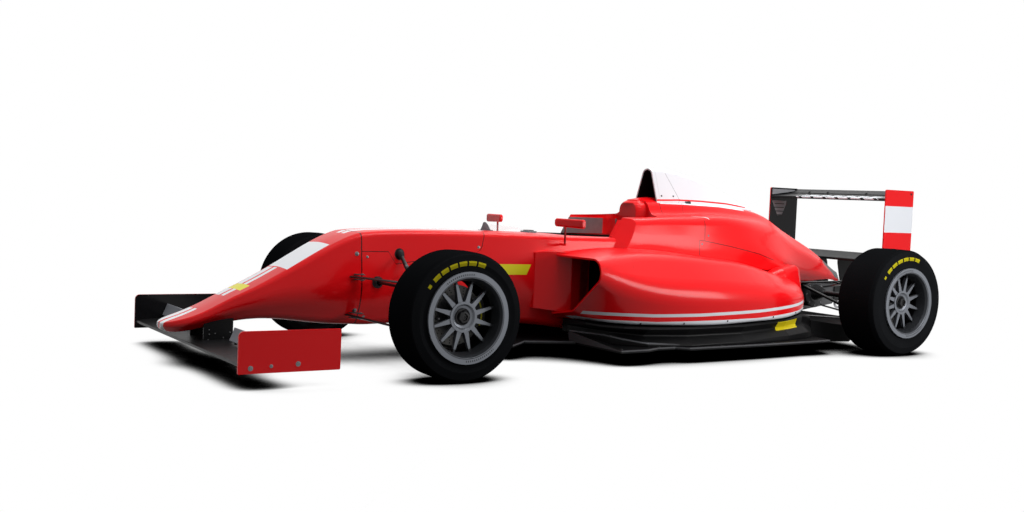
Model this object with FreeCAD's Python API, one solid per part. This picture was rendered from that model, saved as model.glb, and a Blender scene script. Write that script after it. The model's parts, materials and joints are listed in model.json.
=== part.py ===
"""Open wheel racing car: a single-seat formula car as an assembly of separate pieces.

Millimetres. +X forward, +Y to the car's left, +Z up.
The origin is on the ground, at the middle of the car's length and width.
Each piece is written to parts/NODE.step.
"""
import FreeCAD, Part
import math
import os

# ---------------------------------------------------------------- driving dimensions
WHEELBASE = 2750.0
FRONT_AXLE_X = 1145.0
REAR_AXLE_X = FRONT_AXLE_X - WHEELBASE
NOSE_TIP_X = 2145.0

FRONT_TYRE_R = 269.0
FRONT_TYRE_WIDTH = 215.0
FRONT_WHEEL_Y = 736.0
REAR_TYRE_R = 286.5
REAR_TYRE_WIDTH = 249.0
REAR_WHEEL_Y = 720.0
RIM_FLANGE_R = 188.0
RIM_SEAT_R = 167.0
RIM_FACE_PROUD = 7.0
SPOKES = 12
DISH_DEPTH = 62.0
DISC_R = 126.0
CALIPER_R = 139.0

BULKHEAD_X = 1305.0
MOUTH_X = 325.0
TUB_REAR_X = -340.0
TUB_WALL = 20.0
COVER_WALL = 6.0
FLOOR_TOP = 78.0
FLOOR_BOTTOM = 64.0
DIFFUSER_Y = 500.0

RACK_X = 1225.0
RACK_Z = 357.0
ARM_DROP = 20.0

ENDPLATE_FRONT_Y = 723.0
ENDPLATE_REAR_Y = 454.0
PLATE = 8.0


def V(x, y, z):
    return FreeCAD.Vector(x, y, z)


# ---------------------------------------------------------------- geometry helpers
def rounded_wire(corners):
    """Closed wire through corners (point, cut): each corner is an arc starting cut before it.

    A cut that is too long for the shorter side beside it is cut down to fit.
    """
    starts = []
    mids = []
    ends = []
    count = len(corners)
    for i in range(count):
        point, cut = corners[i]
        back = corners[i - 1][0] - point
        ahead = corners[(i + 1) % count][0] - point
        cut = min(cut, 0.46 * back.Length, 0.46 * ahead.Length)
        back.normalize()
        ahead.normalize()
        half = 0.5 * back.getAngle(ahead)
        bisector = (back + ahead).normalize()
        radius = cut * math.tan(half)
        reach = cut / math.cos(half)
        starts.append(point + back * cut)
        mids.append(point + bisector * (reach - radius))
        ends.append(point + ahead * cut)
    edges = []
    for i in range(count):
        edges.append(Part.Arc(starts[i], mids[i], ends[i]).toShape())
        edges.append(Part.LineSegment(ends[i], starts[(i + 1) % count]).toShape())
    return Part.Wire(edges)


def inset_outline(corners, wall):
    """Outline (y, z, cut) moved inward by wall; the outline runs anticlockwise."""
    moved = []
    count = len(corners)
    for i in range(count):
        y, z, cut = corners[i]
        y0, z0, _ = corners[i - 1]
        y1, z1, _ = corners[(i + 1) % count]
        in_y, in_z = y - y0, z - z0
        out_y, out_z = y1 - y, z1 - z
        in_len = math.hypot(in_y, in_z)
        out_len = math.hypot(out_y, out_z)
        n0 = (-in_z / in_len, in_y / in_len)
        n1 = (-out_z / out_len, out_y / out_len)
        scale = wall / (1.0 + n0[0] * n1[0] + n0[1] * n1[1])
        cross = (in_y * out_z - in_z * out_y) / (in_len * out_len)
        kept = cut - wall * abs(cross) / (1.0 + n0[0] * n1[0] + n0[1] * n1[1])
        moved.append((y + scale * (n0[0] + n1[0]), z + scale * (n0[1] + n1[1]), max(kept, 2.0)))
    return moved


def section(x, outline, wall=0.0):
    """Cross-section wire at x from an outline of (y, z, cut)."""
    if wall:
        outline = inset_outline(outline, wall)
    return rounded_wire([(V(x, y, z), cut) for y, z, cut in outline])


def both_halves(half, crown):
    """Full outline, anticlockwise seen from the front end, from the left half and the crown."""
    right = [(-y, z, cut) for y, z, cut in reversed(half)]
    return half + [crown] + right


def loft(wires, ruled=False):
    return Part.makeLoft(wires, True, ruled)


def plate(points, thickness, direction):
    """Flat plate: the outline of points pushed along direction."""
    wire = Part.makePolygon(points + [points[0]])
    return Part.Face(wire).extrude(direction * thickness)


def rounded_plate(corners, push):
    return Part.Face(rounded_wire(corners)).extrude(push)


def mirrored(shape):
    return shape.mirror(V(0, 0, 0), V(0, 1, 0))


def pair(shape):
    return [shape, mirrored(shape)]


def tube(a, b, radius):
    """Round bar from a to b."""
    return Part.makeCylinder(radius, (b - a).Length, a, b - a)


def blade(a, b, chord, thickness, ahead):
    """Wishbone leg from a to b: a streamlined bar, chord long and thickness deep."""
    axis = (b - a).normalize()
    wide = (ahead - axis * ahead.dot(axis)).normalize() * (chord / 2)
    high = axis.cross(wide).normalize() * (thickness / 2)
    corners = [(a + wide, 3.0), (a + high, 4.0), (a - wide, 3.0), (a - high, 4.0)]
    return Part.Face(rounded_wire(corners)).extrude(b - a)


def revolved_y(profile, x, z):
    """Solid of revolution about the line along Y through (x, z); profile is (radius, y)."""
    points = [V(x, y, z + r) for r, y in profile]
    face = Part.Face(Part.makePolygon(points + [points[0]]))
    return face.revolve(V(x, 0, z), V(0, 1, 0), 360)


def write(node, shapes):
    shape = shapes if isinstance(shapes, Part.Shape) else Part.makeCompound(shapes)
    if len(shape.Solids) == 1:
        shape = shape.Solids[0]
    for solid in shape.Solids:
        if not solid.isValid() or solid.Volume <= 0:
            print("CHECK", node, "volume", round(solid.Volume), "valid", solid.isValid())
    shape.exportStep("parts/" + node + ".step")
    print(node, len(shape.Solids), "solids", round(shape.Volume / 1e6, 2), "litres")


def box(x0, x1, y0, y1, z0, z1):
    return Part.makeBox(x1 - x0, y1 - y0, z1 - z0, V(x0, y0, z0))


# ---------------------------------------------------------------- nose and tub
# x, bottom half width, bottom z, side half width, side z, top half width, top z, crown z
NOSE_ROWS = [
    (BULKHEAD_X, 118, 160, 178, 300, 150, 575, 581),
    (1370, 116, 163, 175, 298, 147, 551, 558),
    (1450, 114, 168, 170, 295, 142, 511, 520),
    (1633, 104, 188, 150, 290, 126, 408, 416),
    (1795, 92, 192, 130, 258, 115, 323, 330),
    (1958, 76, 166, 114, 208, 104, 244, 250),
    (2060, 66, 146, 104, 178, 96, 204, 210),
    (2118, 44, 144, 74, 168, 68, 188, 192),
    (NOSE_TIP_X, 20, 156, 36, 168, 30, 178, 181),
]
TUB_ROWS = [
    (BULKHEAD_X, 118, 160, 178, 300, 150, 575, 581),
    (1160, 122, 160, 184, 300, 152, 587, 593),
    (870, 140, 160, 206, 310, 176, 592, 598),
    (600, 165, 156, 228, 320, 202, 591, 597),
    (430, 190, 150, 240, 330, 218, 588, 594),
    (200, 215, 120, 258, 330, 234, 585, 590),
    (-50, 225, 90, 262, 330, 244, 583, 588),
    (TUB_REAR_X, 225, 84, 262, 330, 246, 583, 588),
]


def hull_outline(row):
    _, bottom, bottom_z, side, side_z, top, top_z, crown_z = row
    soft = 0.24 * (top_z - bottom_z)
    edge = min(24.0, 0.2 * (top_z - side_z) + 2.0)
    half = [
        (bottom, bottom_z, min(34.0, 0.3 * (side_z - bottom_z))),
        (side, side_z, min(soft, 0.45 * (side_z - bottom_z))),
        (top, top_z, edge),
    ]
    return both_halves(half, (0.0, crown_z, 0.4 * top))


def hull(rows, wall=0.0):
    return loft([section(row[0], hull_outline(row), wall) for row in rows])


def nose_cone():
    return hull(NOSE_ROWS)


# plan outline of the cockpit opening, front to back: x, half width
COCKPIT = [(205, 175), (60, 212), (-150, 218), (-330, 150)]
COCKPIT_CORNER = 55.0


def cockpit_cutter():
    """Upright prism through the cockpit opening."""
    points = COCKPIT + [(x, -y) for x, y in reversed(COCKPIT)]
    corners = [(V(x, y, 300), COCKPIT_CORNER) for x, y in points]
    return Part.Face(rounded_wire(corners)).extrude(V(0, 0, 460))


def rack_bores():
    """Clearance holes through the tub's sides for the steering rack."""
    return tube(V(RACK_X, -260, RACK_Z), V(RACK_X, 260, RACK_Z), 18)


def monocoque():
    outer = hull(TUB_ROWS)
    inner_rows = [(row[0] - 24 if i == 0 else row[0],) + row[1:] for i, row in enumerate(TUB_ROWS)]
    inner_rows[-1] = (TUB_REAR_X + 24,) + TUB_ROWS[-1][1:]
    shell = outer.cut(hull(inner_rows, TUB_WALL))
    return shell.cut(cockpit_cutter()).cut(hatch_block()).cut(rack_bores())


def hatch_block():
    """Space of the top hatch over the dampers, from the nose seam back to its rear seam."""
    side = [
        (V(BULKHEAD_X + 2, 0, 494), 1.0),
        (V(1170, 0, 494), 14.0),
        (V(1134, 0, 439), 14.0),
        (V(700, 0, 500), 60.0),
        (V(675, 0, 620), 1.0),
        (V(BULKHEAD_X + 2, 0, 620), 1.0),
    ]
    return Part.Face(rounded_wire(side)).extrude(V(0, 500, 0)).fuse(
        Part.Face(rounded_wire(side)).extrude(V(0, -500, 0))).removeSplitter()


def front_hatch():
    """The same skin, taken from the tub where the hatch lies."""
    outer = hull(TUB_ROWS)
    inner_rows = [(BULKHEAD_X + 20,) + TUB_ROWS[0][1:]] + TUB_ROWS[1:]
    skin = outer.cut(hull(inner_rows, TUB_WALL))
    return skin.common(hatch_block())


# ---------------------------------------------------------------- cockpit
HEAD_SPACE_Y = 224.0
HEAD_SPACE_BACK = -381.0
HEAD_WALL_R = 96.0
HEAD_WALL_X = -300.0
HUMP_TOP = 776.0
PADDING = 13.0
BEVEL = [V(-40, 204, 584), V(-132, 240, 686), V(-180, 300, 677)]


def head_space(inset, low, high):
    """Upright prism of the room round the driver's head; its back wall bulges forward."""
    side = HEAD_SPACE_Y - inset
    back = HEAD_SPACE_BACK + inset
    corners = [(V(90, -side, low), 5.0), (V(90, side, low), 5.0),
               (V(back, side, low), 58.0), (V(back, -side, low), 58.0)]
    room = Part.Face(rounded_wire(corners)).extrude(V(0, 0, high - low))
    centre = HEAD_WALL_X - HEAD_WALL_R
    bulge = Part.makeCylinder(HEAD_WALL_R + inset, high - low, V(centre, 0, low))
    if high > HUMP_TOP:
        radius = HEAD_WALL_R + inset
        profile = [(0, low), (radius, low), (radius, 722), (radius - 2.5, 738), (radius - 8.5, 752),
                   (radius - 20, 765), (radius - 40, HUMP_TOP), (0, HUMP_TOP)]
        points = [V(centre + r, 0, z) for r, z in profile]
        face = Part.Face(Part.makePolygon(points + [points[0]]))
        bulge = face.revolve(V(centre, 0, 0), V(0, 0, 1), 360)
        crown = Part.makeCylinder(radius - 40, high - HUMP_TOP, V(centre, 0, HUMP_TOP))
        bulge = bulge.fuse(crown)
    return room.cut(bulge)


def front_bevel():
    """Blocks in front of the slanted front edges of the cover's two arms."""
    a, b, c = BEVEL
    normal = (b - a).cross(c - a).normalize()
    if normal.x < 0:
        normal = normal * -1.0
    u = (b - a).normalize()
    w = normal.cross(u)
    reach = 400.0
    corners = [a + u * s * reach + w * t * reach for s, t in ((-1, -1), (1, -1), (1, 1), (-1, 1))]
    block = plate(corners, reach, normal).common(box(-300, 400, 0, 500, 300, 900))
    return block.fuse(mirrored(block))


def cockpit_collar():
    """Grey padding along the inner sides of the head space, one piece on each side."""
    ring = head_space(0.0, 586, 672).cut(head_space(PADDING, 580, 680)).cut(front_bevel())
    pads = ring.common([box(-400, 0, 150, 300, 500, 800), box(-400, 0, -300, -150, 500, 800)])
    return pads.Solids


def seat():
    """Reclined bucket seat inside the tub: an L of thick shell with side bolsters."""
    side = [
        (V(300, 0, 150), 10.0),
        (V(-100, 0, 128), 60.0),
        (V(-305, 0, 470), 10.0),
        (V(-275, 0, 485), 10.0),
        (V(-80, 0, 160), 60.0),
        (V(300, 0, 176), 10.0),
    ]
    pan = Part.Face(rounded_wire(side)).extrude(V(0, 320, 0))
    pan.translate(V(0, -160, 0))
    wing = [
        (V(120, 0, 160), 10.0),
        (V(-110, 0, 140), 40.0),
        (V(-300, 0, 455), 10.0),
        (V(-220, 0, 455), 30.0),
        (V(-30, 0, 240), 60.0),
        (V(120, 0, 200), 10.0),
    ]
    bolster = Part.Face(rounded_wire(wing)).extrude(V(0, 22, 0))
    bolster.translate(V(0, 160, 0))
    whole = pan.fuse(pair(bolster)).removeSplitter()
    return whole.common(hull(TUB_ROWS, TUB_WALL + 1.0))


# ---------------------------------------------------------------- engine cover
# x, crown z, foot half, foot z, neck half, neck z, shoulder half, shoulder z, side half, side z, low z
COVER_ROWS = [
    (-30, 774, 96, 762, 132, 700, 284, 668, 300, 585, 520),
    (-200, 774, 96, 762, 132, 700, 284, 680, 303, 580, 515),
    (-345, 784, 97, 767, 134, 701, 283, 689, 306, 575, 505),
    (-441, 801, 98, 770, 138, 704, 284, 693, 310, 570, 480),
    (-620, 788, 99, 770, 144, 712, 293, 698, 318, 560, 465),
    (-840, 781, 95, 765, 146, 720, 290, 698, 322, 550, 450),
    (-1105, 763, 84, 747, 134, 706, 232, 672, 300, 510, 420),
    (-1270, 737, 66, 718, 110, 684, 178, 640, 262, 470, 390),
    (-1407, 682, 56, 660, 98, 626, 150, 582, 220, 430, 362),
    (-1625, 585, 50, 564, 80, 534, 118, 498, 160, 394, 350),
    (-1807, 496, 44, 478, 66, 454, 92, 428, 120, 376, 354),
    (-1980, 398, 36, 386, 50, 368, 70, 348, 80, 326, 308),
]
COVER_FIREWALL_X = -382.0


def cover_outline(row):
    _, crown, foot, foot_z, neck, neck_z, shoulder, shoulder_z, side, side_z, low = row
    half = [
        (side - 2, low, 4.0),
        (side, side_z, 0.4 * (side_z - low)),
        (shoulder, shoulder_z, 0.3 * (shoulder_z - side_z)),
        (neck, neck_z, 0.45 * (foot_z - neck_z)),
        (foot, foot_z, 0.3 * (foot_z - neck_z) + 4.0),
    ]
    return both_halves(half, (0.0, crown, 0.4 * foot))


def cover_body():
    return loft([section(row[0], cover_outline(row)) for row in COVER_ROWS])


def cover_hollow():
    """The space under the cover: its outline moved in by the wall, and open downward."""
    wires = []
    for row in COVER_ROWS:
        x = row[0]
        if row is COVER_ROWS[-1]:
            x += 8 * COVER_WALL
        outline = inset_outline(cover_outline(row), COVER_WALL)
        low = outline[0][1] - 60.0
        first = (outline[0][0], low, 4.0)
        last = (-outline[0][0], low, 4.0)
        wires.append(section(x, [first] + outline[1:-1] + [last]))
    behind_wall = box(-2200, COVER_FIREWALL_X - COVER_WALL, -400, 400, 200, 900)
    return loft(wires).common(behind_wall)


def engine_cover():
    """Shell over the engine, with the bulge behind the head and the two arms beside it."""
    shell = cover_body().cut([cover_hollow(), head_space(0.0, 560, 900), front_bevel()])
    tail = plate([V(-1976, -300, 401), V(-1893, -300, 314), V(-1893, -300, 200), V(-2100, -300, 200),
                  V(-2100, -300, 401)], 600, V(0, 1, 0))
    return shell.cut([tail, hull(TUB_ROWS), cockpit_cutter()])


# white airbox: x, top z, top half, foot half, foot z
AIRBOX_ROWS = [
    (-455, 953, 26, 94, 768),
    (-615, 948, 26, 92, 776),
    (-764, 918, 24, 84, 772),
    (-930, 872, 22, 76, 768),
    (-1084, 810, 18, 60, 758),
    (-1200, 772, 12, 44, 754),
]
AIRBOX_WALL = 8.0
DUCT_WALL = 4.0
DUCT_GAP = 0.3
DUCT_BACK = -700.0


def airbox_outline(row):
    _, top, top_half, foot, foot_z = row
    half = [
        (foot, foot_z - 22, 4.0),
        (foot + 1, foot_z, 5.0),
        (top_half + 8, top - 10, 0.18 * (top - foot_z)),
    ]
    return both_halves(half, (0.0, top, 0.5 * top_half))


def airbox_body(inset=0.0, ahead=0.0):
    rows = [(AIRBOX_ROWS[0][0] + ahead,) + AIRBOX_ROWS[0][1:]] + AIRBOX_ROWS[1:]
    return loft([section(row[0], airbox_outline(row), inset) for row in rows])


def duct_space():
    return box(DUCT_BACK, -400, -200, 200, 700, 1000)


def airbox_cover():
    """Tall white cover with the air intake's mouth in its front."""
    room = airbox_body(AIRBOX_WALL, 6.0).common(duct_space())
    return airbox_body().cut([room, cover_body()])


def intake_duct():
    """Black liner of the intake, closed at its back end."""
    lining = airbox_body(AIRBOX_WALL + DUCT_GAP).common(duct_space())
    space = airbox_body(AIRBOX_WALL + DUCT_WALL, 6.0).common(
        box(DUCT_BACK + DUCT_WALL, -400, -200, 200, 700, 1000))
    return lining.cut([space, cover_body()])


# ---------------------------------------------------------------- side pods
# x, inner y, low z, tuck y, tuck z, side y, side z, ridge y, ridge z, top z at the inner edge
POD_ROWS = [
    (MOUTH_X, 262, 205, 440, 236, 655, 410, 624, 497, 497),
    (230, 262, 180, 500, 200, 655, 385, 590, 505, 512),
    (28, 262, 165, 585, 182, 668, 360, 520, 518, 532),
    (-240, 262, 165, 640, 178, 676, 350, 510, 512, 530),
    (-546, 262, 165, 650, 182, 672, 345, 500, 492, 500),
    (-820, 240, 165, 625, 190, 640, 335, 470, 458, 462),
    (-1034, 200, 170, 565, 200, 575, 320, 430, 412, 430),
    (-1190, 170, 185, 480, 210, 488, 300, 395, 385, 405),
    (-1286, 150, 190, 396, 200, 402, 285, 350, 368, 384),
]
POD_WALL = 9.0


def pod_outline(row):
    _, inner, low, tuck, tuck_z, side, side_z, ridge, ridge_z, top_z = row
    return [
        (inner, low, 5.0),
        (tuck, tuck_z, 16.0),
        (side, side_z, 0.44 * (side_z - tuck_z)),
        (ridge, ridge_z, 46.0),
        (inner, top_z, 5.0),
    ]


def pod_body(wall=0.0, ahead=0.0):
    wires = []
    for row in POD_ROWS:
        x = row[0]
        if row is POD_ROWS[0]:
            x += ahead
        if row is POD_ROWS[-1]:
            x -= ahead
        wires.append(section(x, pod_outline(row), wall))
    return loft(wires)


def mouth_cheek():
    """Flared panel from the tub's side out to the inner edge of the duct's mouth."""
    # x, y in plan; it leaves the tub, runs out to the mouth's inner edge and back to the pod
    plan = [(418, 236), (255, 322), (205, 322), (120, 268), (120, 250), (418, 200)]
    corners = [(V(x, y, 214), 3.0) for x, y in plan]
    block = Part.Face(rounded_wire(corners)).extrude(V(0, 0, 320))
    roof = [
        (V(430, 0, 500), 2.0), (V(360, 0, 511), 30.0), (V(250, 0, 506), 30.0), (V(100, 0, 518), 2.0),
        (V(100, 0, 200), 2.0), (V(250, 0, 216), 20.0), (V(430, 0, 236), 2.0),
    ]
    side_view = Part.Face(rounded_wire(roof)).extrude(V(0, 500, 0))
    return block.common(side_view).cut(hull(TUB_ROWS))


def outlet_blister(wall=0.0):
    """Bulge on the pod's rear top that lets the hot air out backwards."""
    # x, inner y, outer y, foot z, top inner y, top outer y, top z
    rows = [
        (-1020, 300, 392, 340, 320, 370, 396),
        (-1130, 262, 430, 330, 296, 396, 436),
        (-1235, 236, 425, 310, 290, 388, 455),
        (-1272 - wall, 228, 396, 300, 286, 370, 444),
    ]
    wires = []
    for x, inner, outer, foot_z, top_in, top_out, top_z in rows:
        corners = [
            (V(x, inner + wall, foot_z + wall), 4.0),
            (V(x, outer - wall, foot_z + wall), 4.0),
            (V(x, top_out - wall, top_z - wall), 24.0),
            (V(x, top_in + wall, top_z - wall), 24.0),
        ]
        wires.append(rounded_wire(corners))
    return loft(wires, True)


def sidepod():
    inside = pod_body(POD_WALL, 2.0)
    shell = pod_body().fuse(outlet_blister())
    shell = shell.cut([inside, outlet_blister(POD_WALL)])
    return shell.fuse(mouth_cheek()).cut(cover_body()).removeSplitter()


def sill():
    """Black sill under the pod, from its front tip back to the diffuser."""
    # x, inner y, top y, top z, scoop y, lip y, lip z, base z
    rows = [
        (255, 262, 452, 190, 300, 302, 132, 122),
        (205, 262, 520, 184, 372, 385, 120, 100),
        (130, 262, 590, 181, 470, 482, 112, 79),
        (0, 262, 622, 178, 570, 612, 92, 79),
        (-240, 262, 642, 176, 610, 660, 85, 79),
        (-600, 262, 646, 180, 618, 655, 90, 79),
        (-960, 240, 588, 190, 566, 612, 102, 79),
        (-1160, 220, 512, 205, 505, 562, 110, 79),
        (-1240, 220, 496, 190, 492, 512, 100, 79),
    ]
    wires = []
    for x, inner, top, top_z, scoop, lip, lip_z, base in rows:
        corners = [
            (V(x, inner, base), 2.0),
            (V(x, lip, base), 2.0),
            (V(x, lip, lip_z), 3.0),
            (V(x, scoop, 0.45 * top_z + 0.55 * lip_z), 10.0),
            (V(x, top, top_z - 15.0), 3.0),
            (V(x, top - 6.0, top_z - 5.0), 2.0),
            (V(x, inner, top_z - 5.0), 2.0),
        ]
        wires.append(rounded_wire(corners))
    return loft(wires, True).cut([pod_body(), floor()])


# ---------------------------------------------------------------- floor
# the left edge of the flat floor, front to back: x, y
FLOOR_EDGE = [
    (638, 300), (612, 372), (467, 250), (227, 340), (215, 681), (52, 677), (-39, 640), (-150, 640),
    (-198, 690), (-676, 684), (-1226, 655), (-1240, 504),
]


def floor():
    """Flat floor; behind the sill's tip its leading edge rises towards the tub."""
    left = [V(x, y, FLOOR_BOTTOM) for x, y in FLOOR_EDGE]
    right = [V(x, -y, FLOOR_BOTTOM) for x, y in reversed(FLOOR_EDGE)]
    flat = plate(left + right, FLOOR_TOP - FLOOR_BOTTOM, V(0, 0, 1))
    raised = V(250, 300, 128)
    inner = V(238, 300, FLOOR_TOP - 4)
    outer = V(216, 676, FLOOR_TOP - 4)
    back = V(-20, 300, FLOOR_TOP - 4)
    faces = [(raised, inner, outer), (raised, outer, back), (raised, back, inner), (inner, back, outer)]
    shell = Part.Shell([Part.Face(Part.makePolygon([a, b, c, a])) for a, b, c in faces])
    rise = Part.Solid(shell)
    if rise.Volume < 0:
        rise.reverse()
    return flat.fuse(pair(rise)).removeSplitter()


def diffuser():
    """Ramp behind the floor with its two side walls."""
    ramp = [
        (V(-1242, 0, FLOOR_BOTTOM), 2.0),
        (V(-1700, 0, 150), 2.0),
        (V(-1700, 0, 158), 2.0),
        (V(-1242, 0, FLOOR_TOP), 2.0),
    ]
    roof = Part.Face(rounded_wire(ramp)).extrude(V(0, 2 * DIFFUSER_Y, 0))
    roof.translate(V(0, -DIFFUSER_Y, 0))
    side_view = [(-1242, 50), (-1560, 36), (-1600, 60), (-1600, 120), (-1242, 164)]
    wall = plate([V(x, DIFFUSER_Y - PLATE, z) for x, z in side_view], PLATE, V(0, 1, 0))
    return roof.fuse(pair(wall)).removeSplitter()


# ---------------------------------------------------------------- wings
def foil(x_front, x_back, y, z_front, z_back, thick, camber):
    """Wing section wire: blunt front, thin tail, hollow upper side."""
    mid = 0.5 * (x_front + x_back)
    mid_z = 0.5 * (z_front + z_back) - camber
    corners = [
        (V(x_front, y, z_front + 0.35 * thick), 0.2 * thick),
        (V(x_front, y, z_front - 0.35 * thick), 0.2 * thick),
        (V(mid, y, mid_z - 0.5 * thick), 30.0),
        (V(x_back, y, z_back - 1.5), 0.8),
        (V(x_back, y, z_back + 1.5), 0.8),
        (V(mid, y, mid_z + 0.5 * thick), 30.0),
    ]
    return rounded_wire(corners)


def foil_span(x_front, x_back, y0, y1, z_front, z_back, thick, camber):
    a = foil(x_front, x_back, y0, z_front, z_back, thick, camber)
    return Part.Face(a).extrude(V(0, y1 - y0, 0))


def front_wing():
    reach = ENDPLATE_FRONT_Y - PLATE
    return foil_span(2050, 1852, -reach, reach, 98, 110, 18, 2)


def front_wing_flaps():
    reach = ENDPLATE_FRONT_Y - PLATE
    y = 245
    outline = [
        (V(1927, y, 127), 2.0), (V(1920, y, 122), 2.0), (V(1907, y, 150), 16.0),
        (V(1902, y, 180), 0.8), (V(1905.5, y, 180), 0.8), (V(1915, y, 152), 16.0),
    ]
    return pair(Part.Face(rounded_wire(outline)).extrude(V(0, reach - y, 0)))


def front_endplate():
    y = ENDPLATE_FRONT_Y - PLATE
    corners = [
        (V(2057, y, 66), 4.0),
        (V(2057, y, 226), 22.0),
        (V(1645, y, 226), 6.0),
        (V(1645, y, 66), 6.0),
    ]
    return rounded_plate(corners, V(0, PLATE, 0))


def front_wing_pylons():
    """Upright plates from the nose's underside down to the main plane."""
    plates = []
    for y in (90, -90):
        side_view = [(1985, 84), (1985, 200), (1858, 230), (1858, 84)]
        block = plate([V(x, y - PLATE / 2, z) for x, z in side_view], PLATE, V(0, 1, 0))
        upper = block.cut(nose_cone()).cut(front_wing())
        plates.append(max(upper.Solids, key=lambda piece: piece.CenterOfMass.z))
    return plates


def rear_wing():
    reach = ENDPLATE_REAR_Y - PLATE
    main = foil_span(-1868, -2060, -reach, reach, 842, 870, 22, 10)
    flap = foil_span(-2048, -2108, -reach, reach, 872, 897, 6, 2)
    return [main, flap]


def rear_lower_wing():
    reach = ENDPLATE_REAR_Y - PLATE
    beam = foil_span(-1850, -2010, -reach, reach, 480, 520, 20, 8)
    return beam


def rear_endplate():
    y = ENDPLATE_REAR_Y - PLATE
    corners = [
        (V(-1864, y, 460), 10.0),
        (V(-1864, y, 901), 8.0),
        (V(-2110, y, 901), 8.0),
        (V(-2110, y, 460), 10.0),
    ]
    return rounded_plate(corners, V(0, PLATE, 0))


PYLON_Y = 104.0


def rear_wing_pylons():
    """Twin plates on a saddle, from the crash box up to the lower wing."""
    side_view = [(-1925, 316), (-1890, 450), (-1886, 500), (-2004, 530), (-2040, 446), (-2060, 316)]
    slab = plate([V(x, PYLON_Y, z) for x, z in side_view], PLATE, V(0, 1, 0))
    saddle = box(-2000, -1940, -PYLON_Y, PYLON_Y, 310, 330)
    frame = saddle.fuse(pair(slab)).cut([rear_lower_wing(), crash_box()]).removeSplitter()
    return min(frame.Solids, key=lambda piece: piece.CenterOfMass.z)


# ---------------------------------------------------------------- drive train, plain
def engine():
    """Plain block at the engine's place and size."""
    return box(-960, TUB_REAR_X - 1.0, -210, 210, 96, 466)


def gearbox():
    """Casing behind the engine, with the final drive's round housings on both sides."""
    case = loft([
        rounded_wire([(V(-961, -150, 96), 20), (V(-961, 150, 96), 20),
                      (V(-961, 150, 380), 20), (V(-961, -150, 380), 20)]),
        rounded_wire([(V(-1900, -78, 200), 14), (V(-1900, 78, 200), 14),
                      (V(-1900, 78, 330), 14), (V(-1900, -78, 330), 14)]),
    ], True)
    final = tube(V(REAR_AXLE_X, -190, REAR_TYRE_R - 12), V(REAR_AXLE_X, 190, REAR_TYRE_R - 12), 74)
    return case.fuse(final).removeSplitter()


def crash_box():
    body = loft([
        rounded_wire([(V(-1901, -85, 210), 14), (V(-1901, 85, 210), 14),
                      (V(-1901, 85, 325), 14), (V(-1901, -85, 325), 14)]),
        rounded_wire([(V(-2120, -60, 240), 14), (V(-2120, 60, 240), 14),
                      (V(-2120, 60, 320), 14), (V(-2120, -60, 320), 14)]),
    ], True)
    lamp = box(-2145, -2119, -45, 45, 250, 310)
    return body.fuse(lamp).removeSplitter()


def tow_eye():
    """Steel plate with a round eye, under the crash box."""
    ring = tube(V(-2035, -5, 195), V(-2035, 5, 195), 32)
    neck = box(-2060, -2010, -5, 5, 195, 248)
    bore = tube(V(-2035, -6, 195), V(-2035, 6, 195), 20)
    return ring.fuse(neck).cut(bore).cut(crash_box()).removeSplitter()


# ---------------------------------------------------------------- suspension
EYE_R = 17.0
EYE_HALF = 8.0
PIN_R = 10.0
PIN_GAP = 0.4
FRONT_BALLS = (V(FRONT_AXLE_X, 632, 160), V(FRONT_AXLE_X - 8, 622, 372))
REAR_BALLS = (V(REAR_AXLE_X, 632, 172), V(REAR_AXLE_X, 626, 392))


def wishbone(inner_points, ball, axis):
    """Two streamlined legs that meet in an eye round the knuckle's pin."""
    shape = tube(ball - axis * EYE_HALF, ball + axis * EYE_HALF, EYE_R)
    legs = [blade(inner, ball, 26, 12, V(1, 0, 0)) for inner in inner_points]
    bore = tube(ball - axis * 30, ball + axis * 30, PIN_R + PIN_GAP)
    return shape.fuse(legs).cut(bore).removeSplitter()


def corner_arms(balls, lower_inner, upper_inner, rod):
    """Upper and lower wishbones of one left corner, the lower one with its pushrod."""
    low, high = balls
    axis = (high - low).normalize()
    lower = wishbone(lower_inner, low, axis)
    bore = tube(low - axis * 30, low + axis * 30, PIN_R + PIN_GAP)
    lower = lower.fuse(tube(rod[0], rod[1], 9)).cut(bore).removeSplitter()
    return lower, wishbone(upper_inner, high, axis)


def front_suspension():
    lower, upper = corner_arms(
        FRONT_BALLS,
        [V(1362, 110, 212), V(940, 150, 213)],
        [V(1370, 120, 383), V(985, 140, 394)],
        (V(FRONT_AXLE_X, 600, 166), V(1112, 150, 501)),
    )
    body = [nose_cone(), hull(TUB_ROWS)]
    left = [lower.cut(body), upper.cut(body)]
    return left + [mirrored(s) for s in left]


def rear_suspension():
    lower, upper = corner_arms(
        REAR_BALLS,
        [V(-1260, 90, 165), V(-1760, 60, 205)],
        [V(-1290, 90, 330), V(-1790, 60, 300)],
        (V(REAR_AXLE_X + 10, 600, 178), V(-1500, 70, 362)),
    )
    left = [lower.cut(gearbox()), upper.cut(gearbox())]
    return left + [mirrored(s) for s in left]


# ---------------------------------------------------------------- wheels
def tyre_profile(radius, width, rim_half):
    half = width / 2
    return [
        (RIM_SEAT_R + 1, -rim_half + 12), (RIM_SEAT_R + 22, -rim_half + 2), (RIM_SEAT_R + 40, -half + 4),
        (radius - 45, -half), (radius - 14, -half + 8), (radius - 2, -half + 30), (radius, 0),
        (radius - 2, half - 30), (radius - 14, half - 8), (radius - 45, half),
        (RIM_SEAT_R + 40, half - 4), (RIM_SEAT_R + 22, rim_half - 2), (RIM_SEAT_R + 1, rim_half - 12),
    ]


def tyre(x, y, radius, width):
    profile = [(r, y + s) for r, s in tyre_profile(radius, width, width / 2 - 2)]
    return revolved_y(profile, x, radius)


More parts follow.
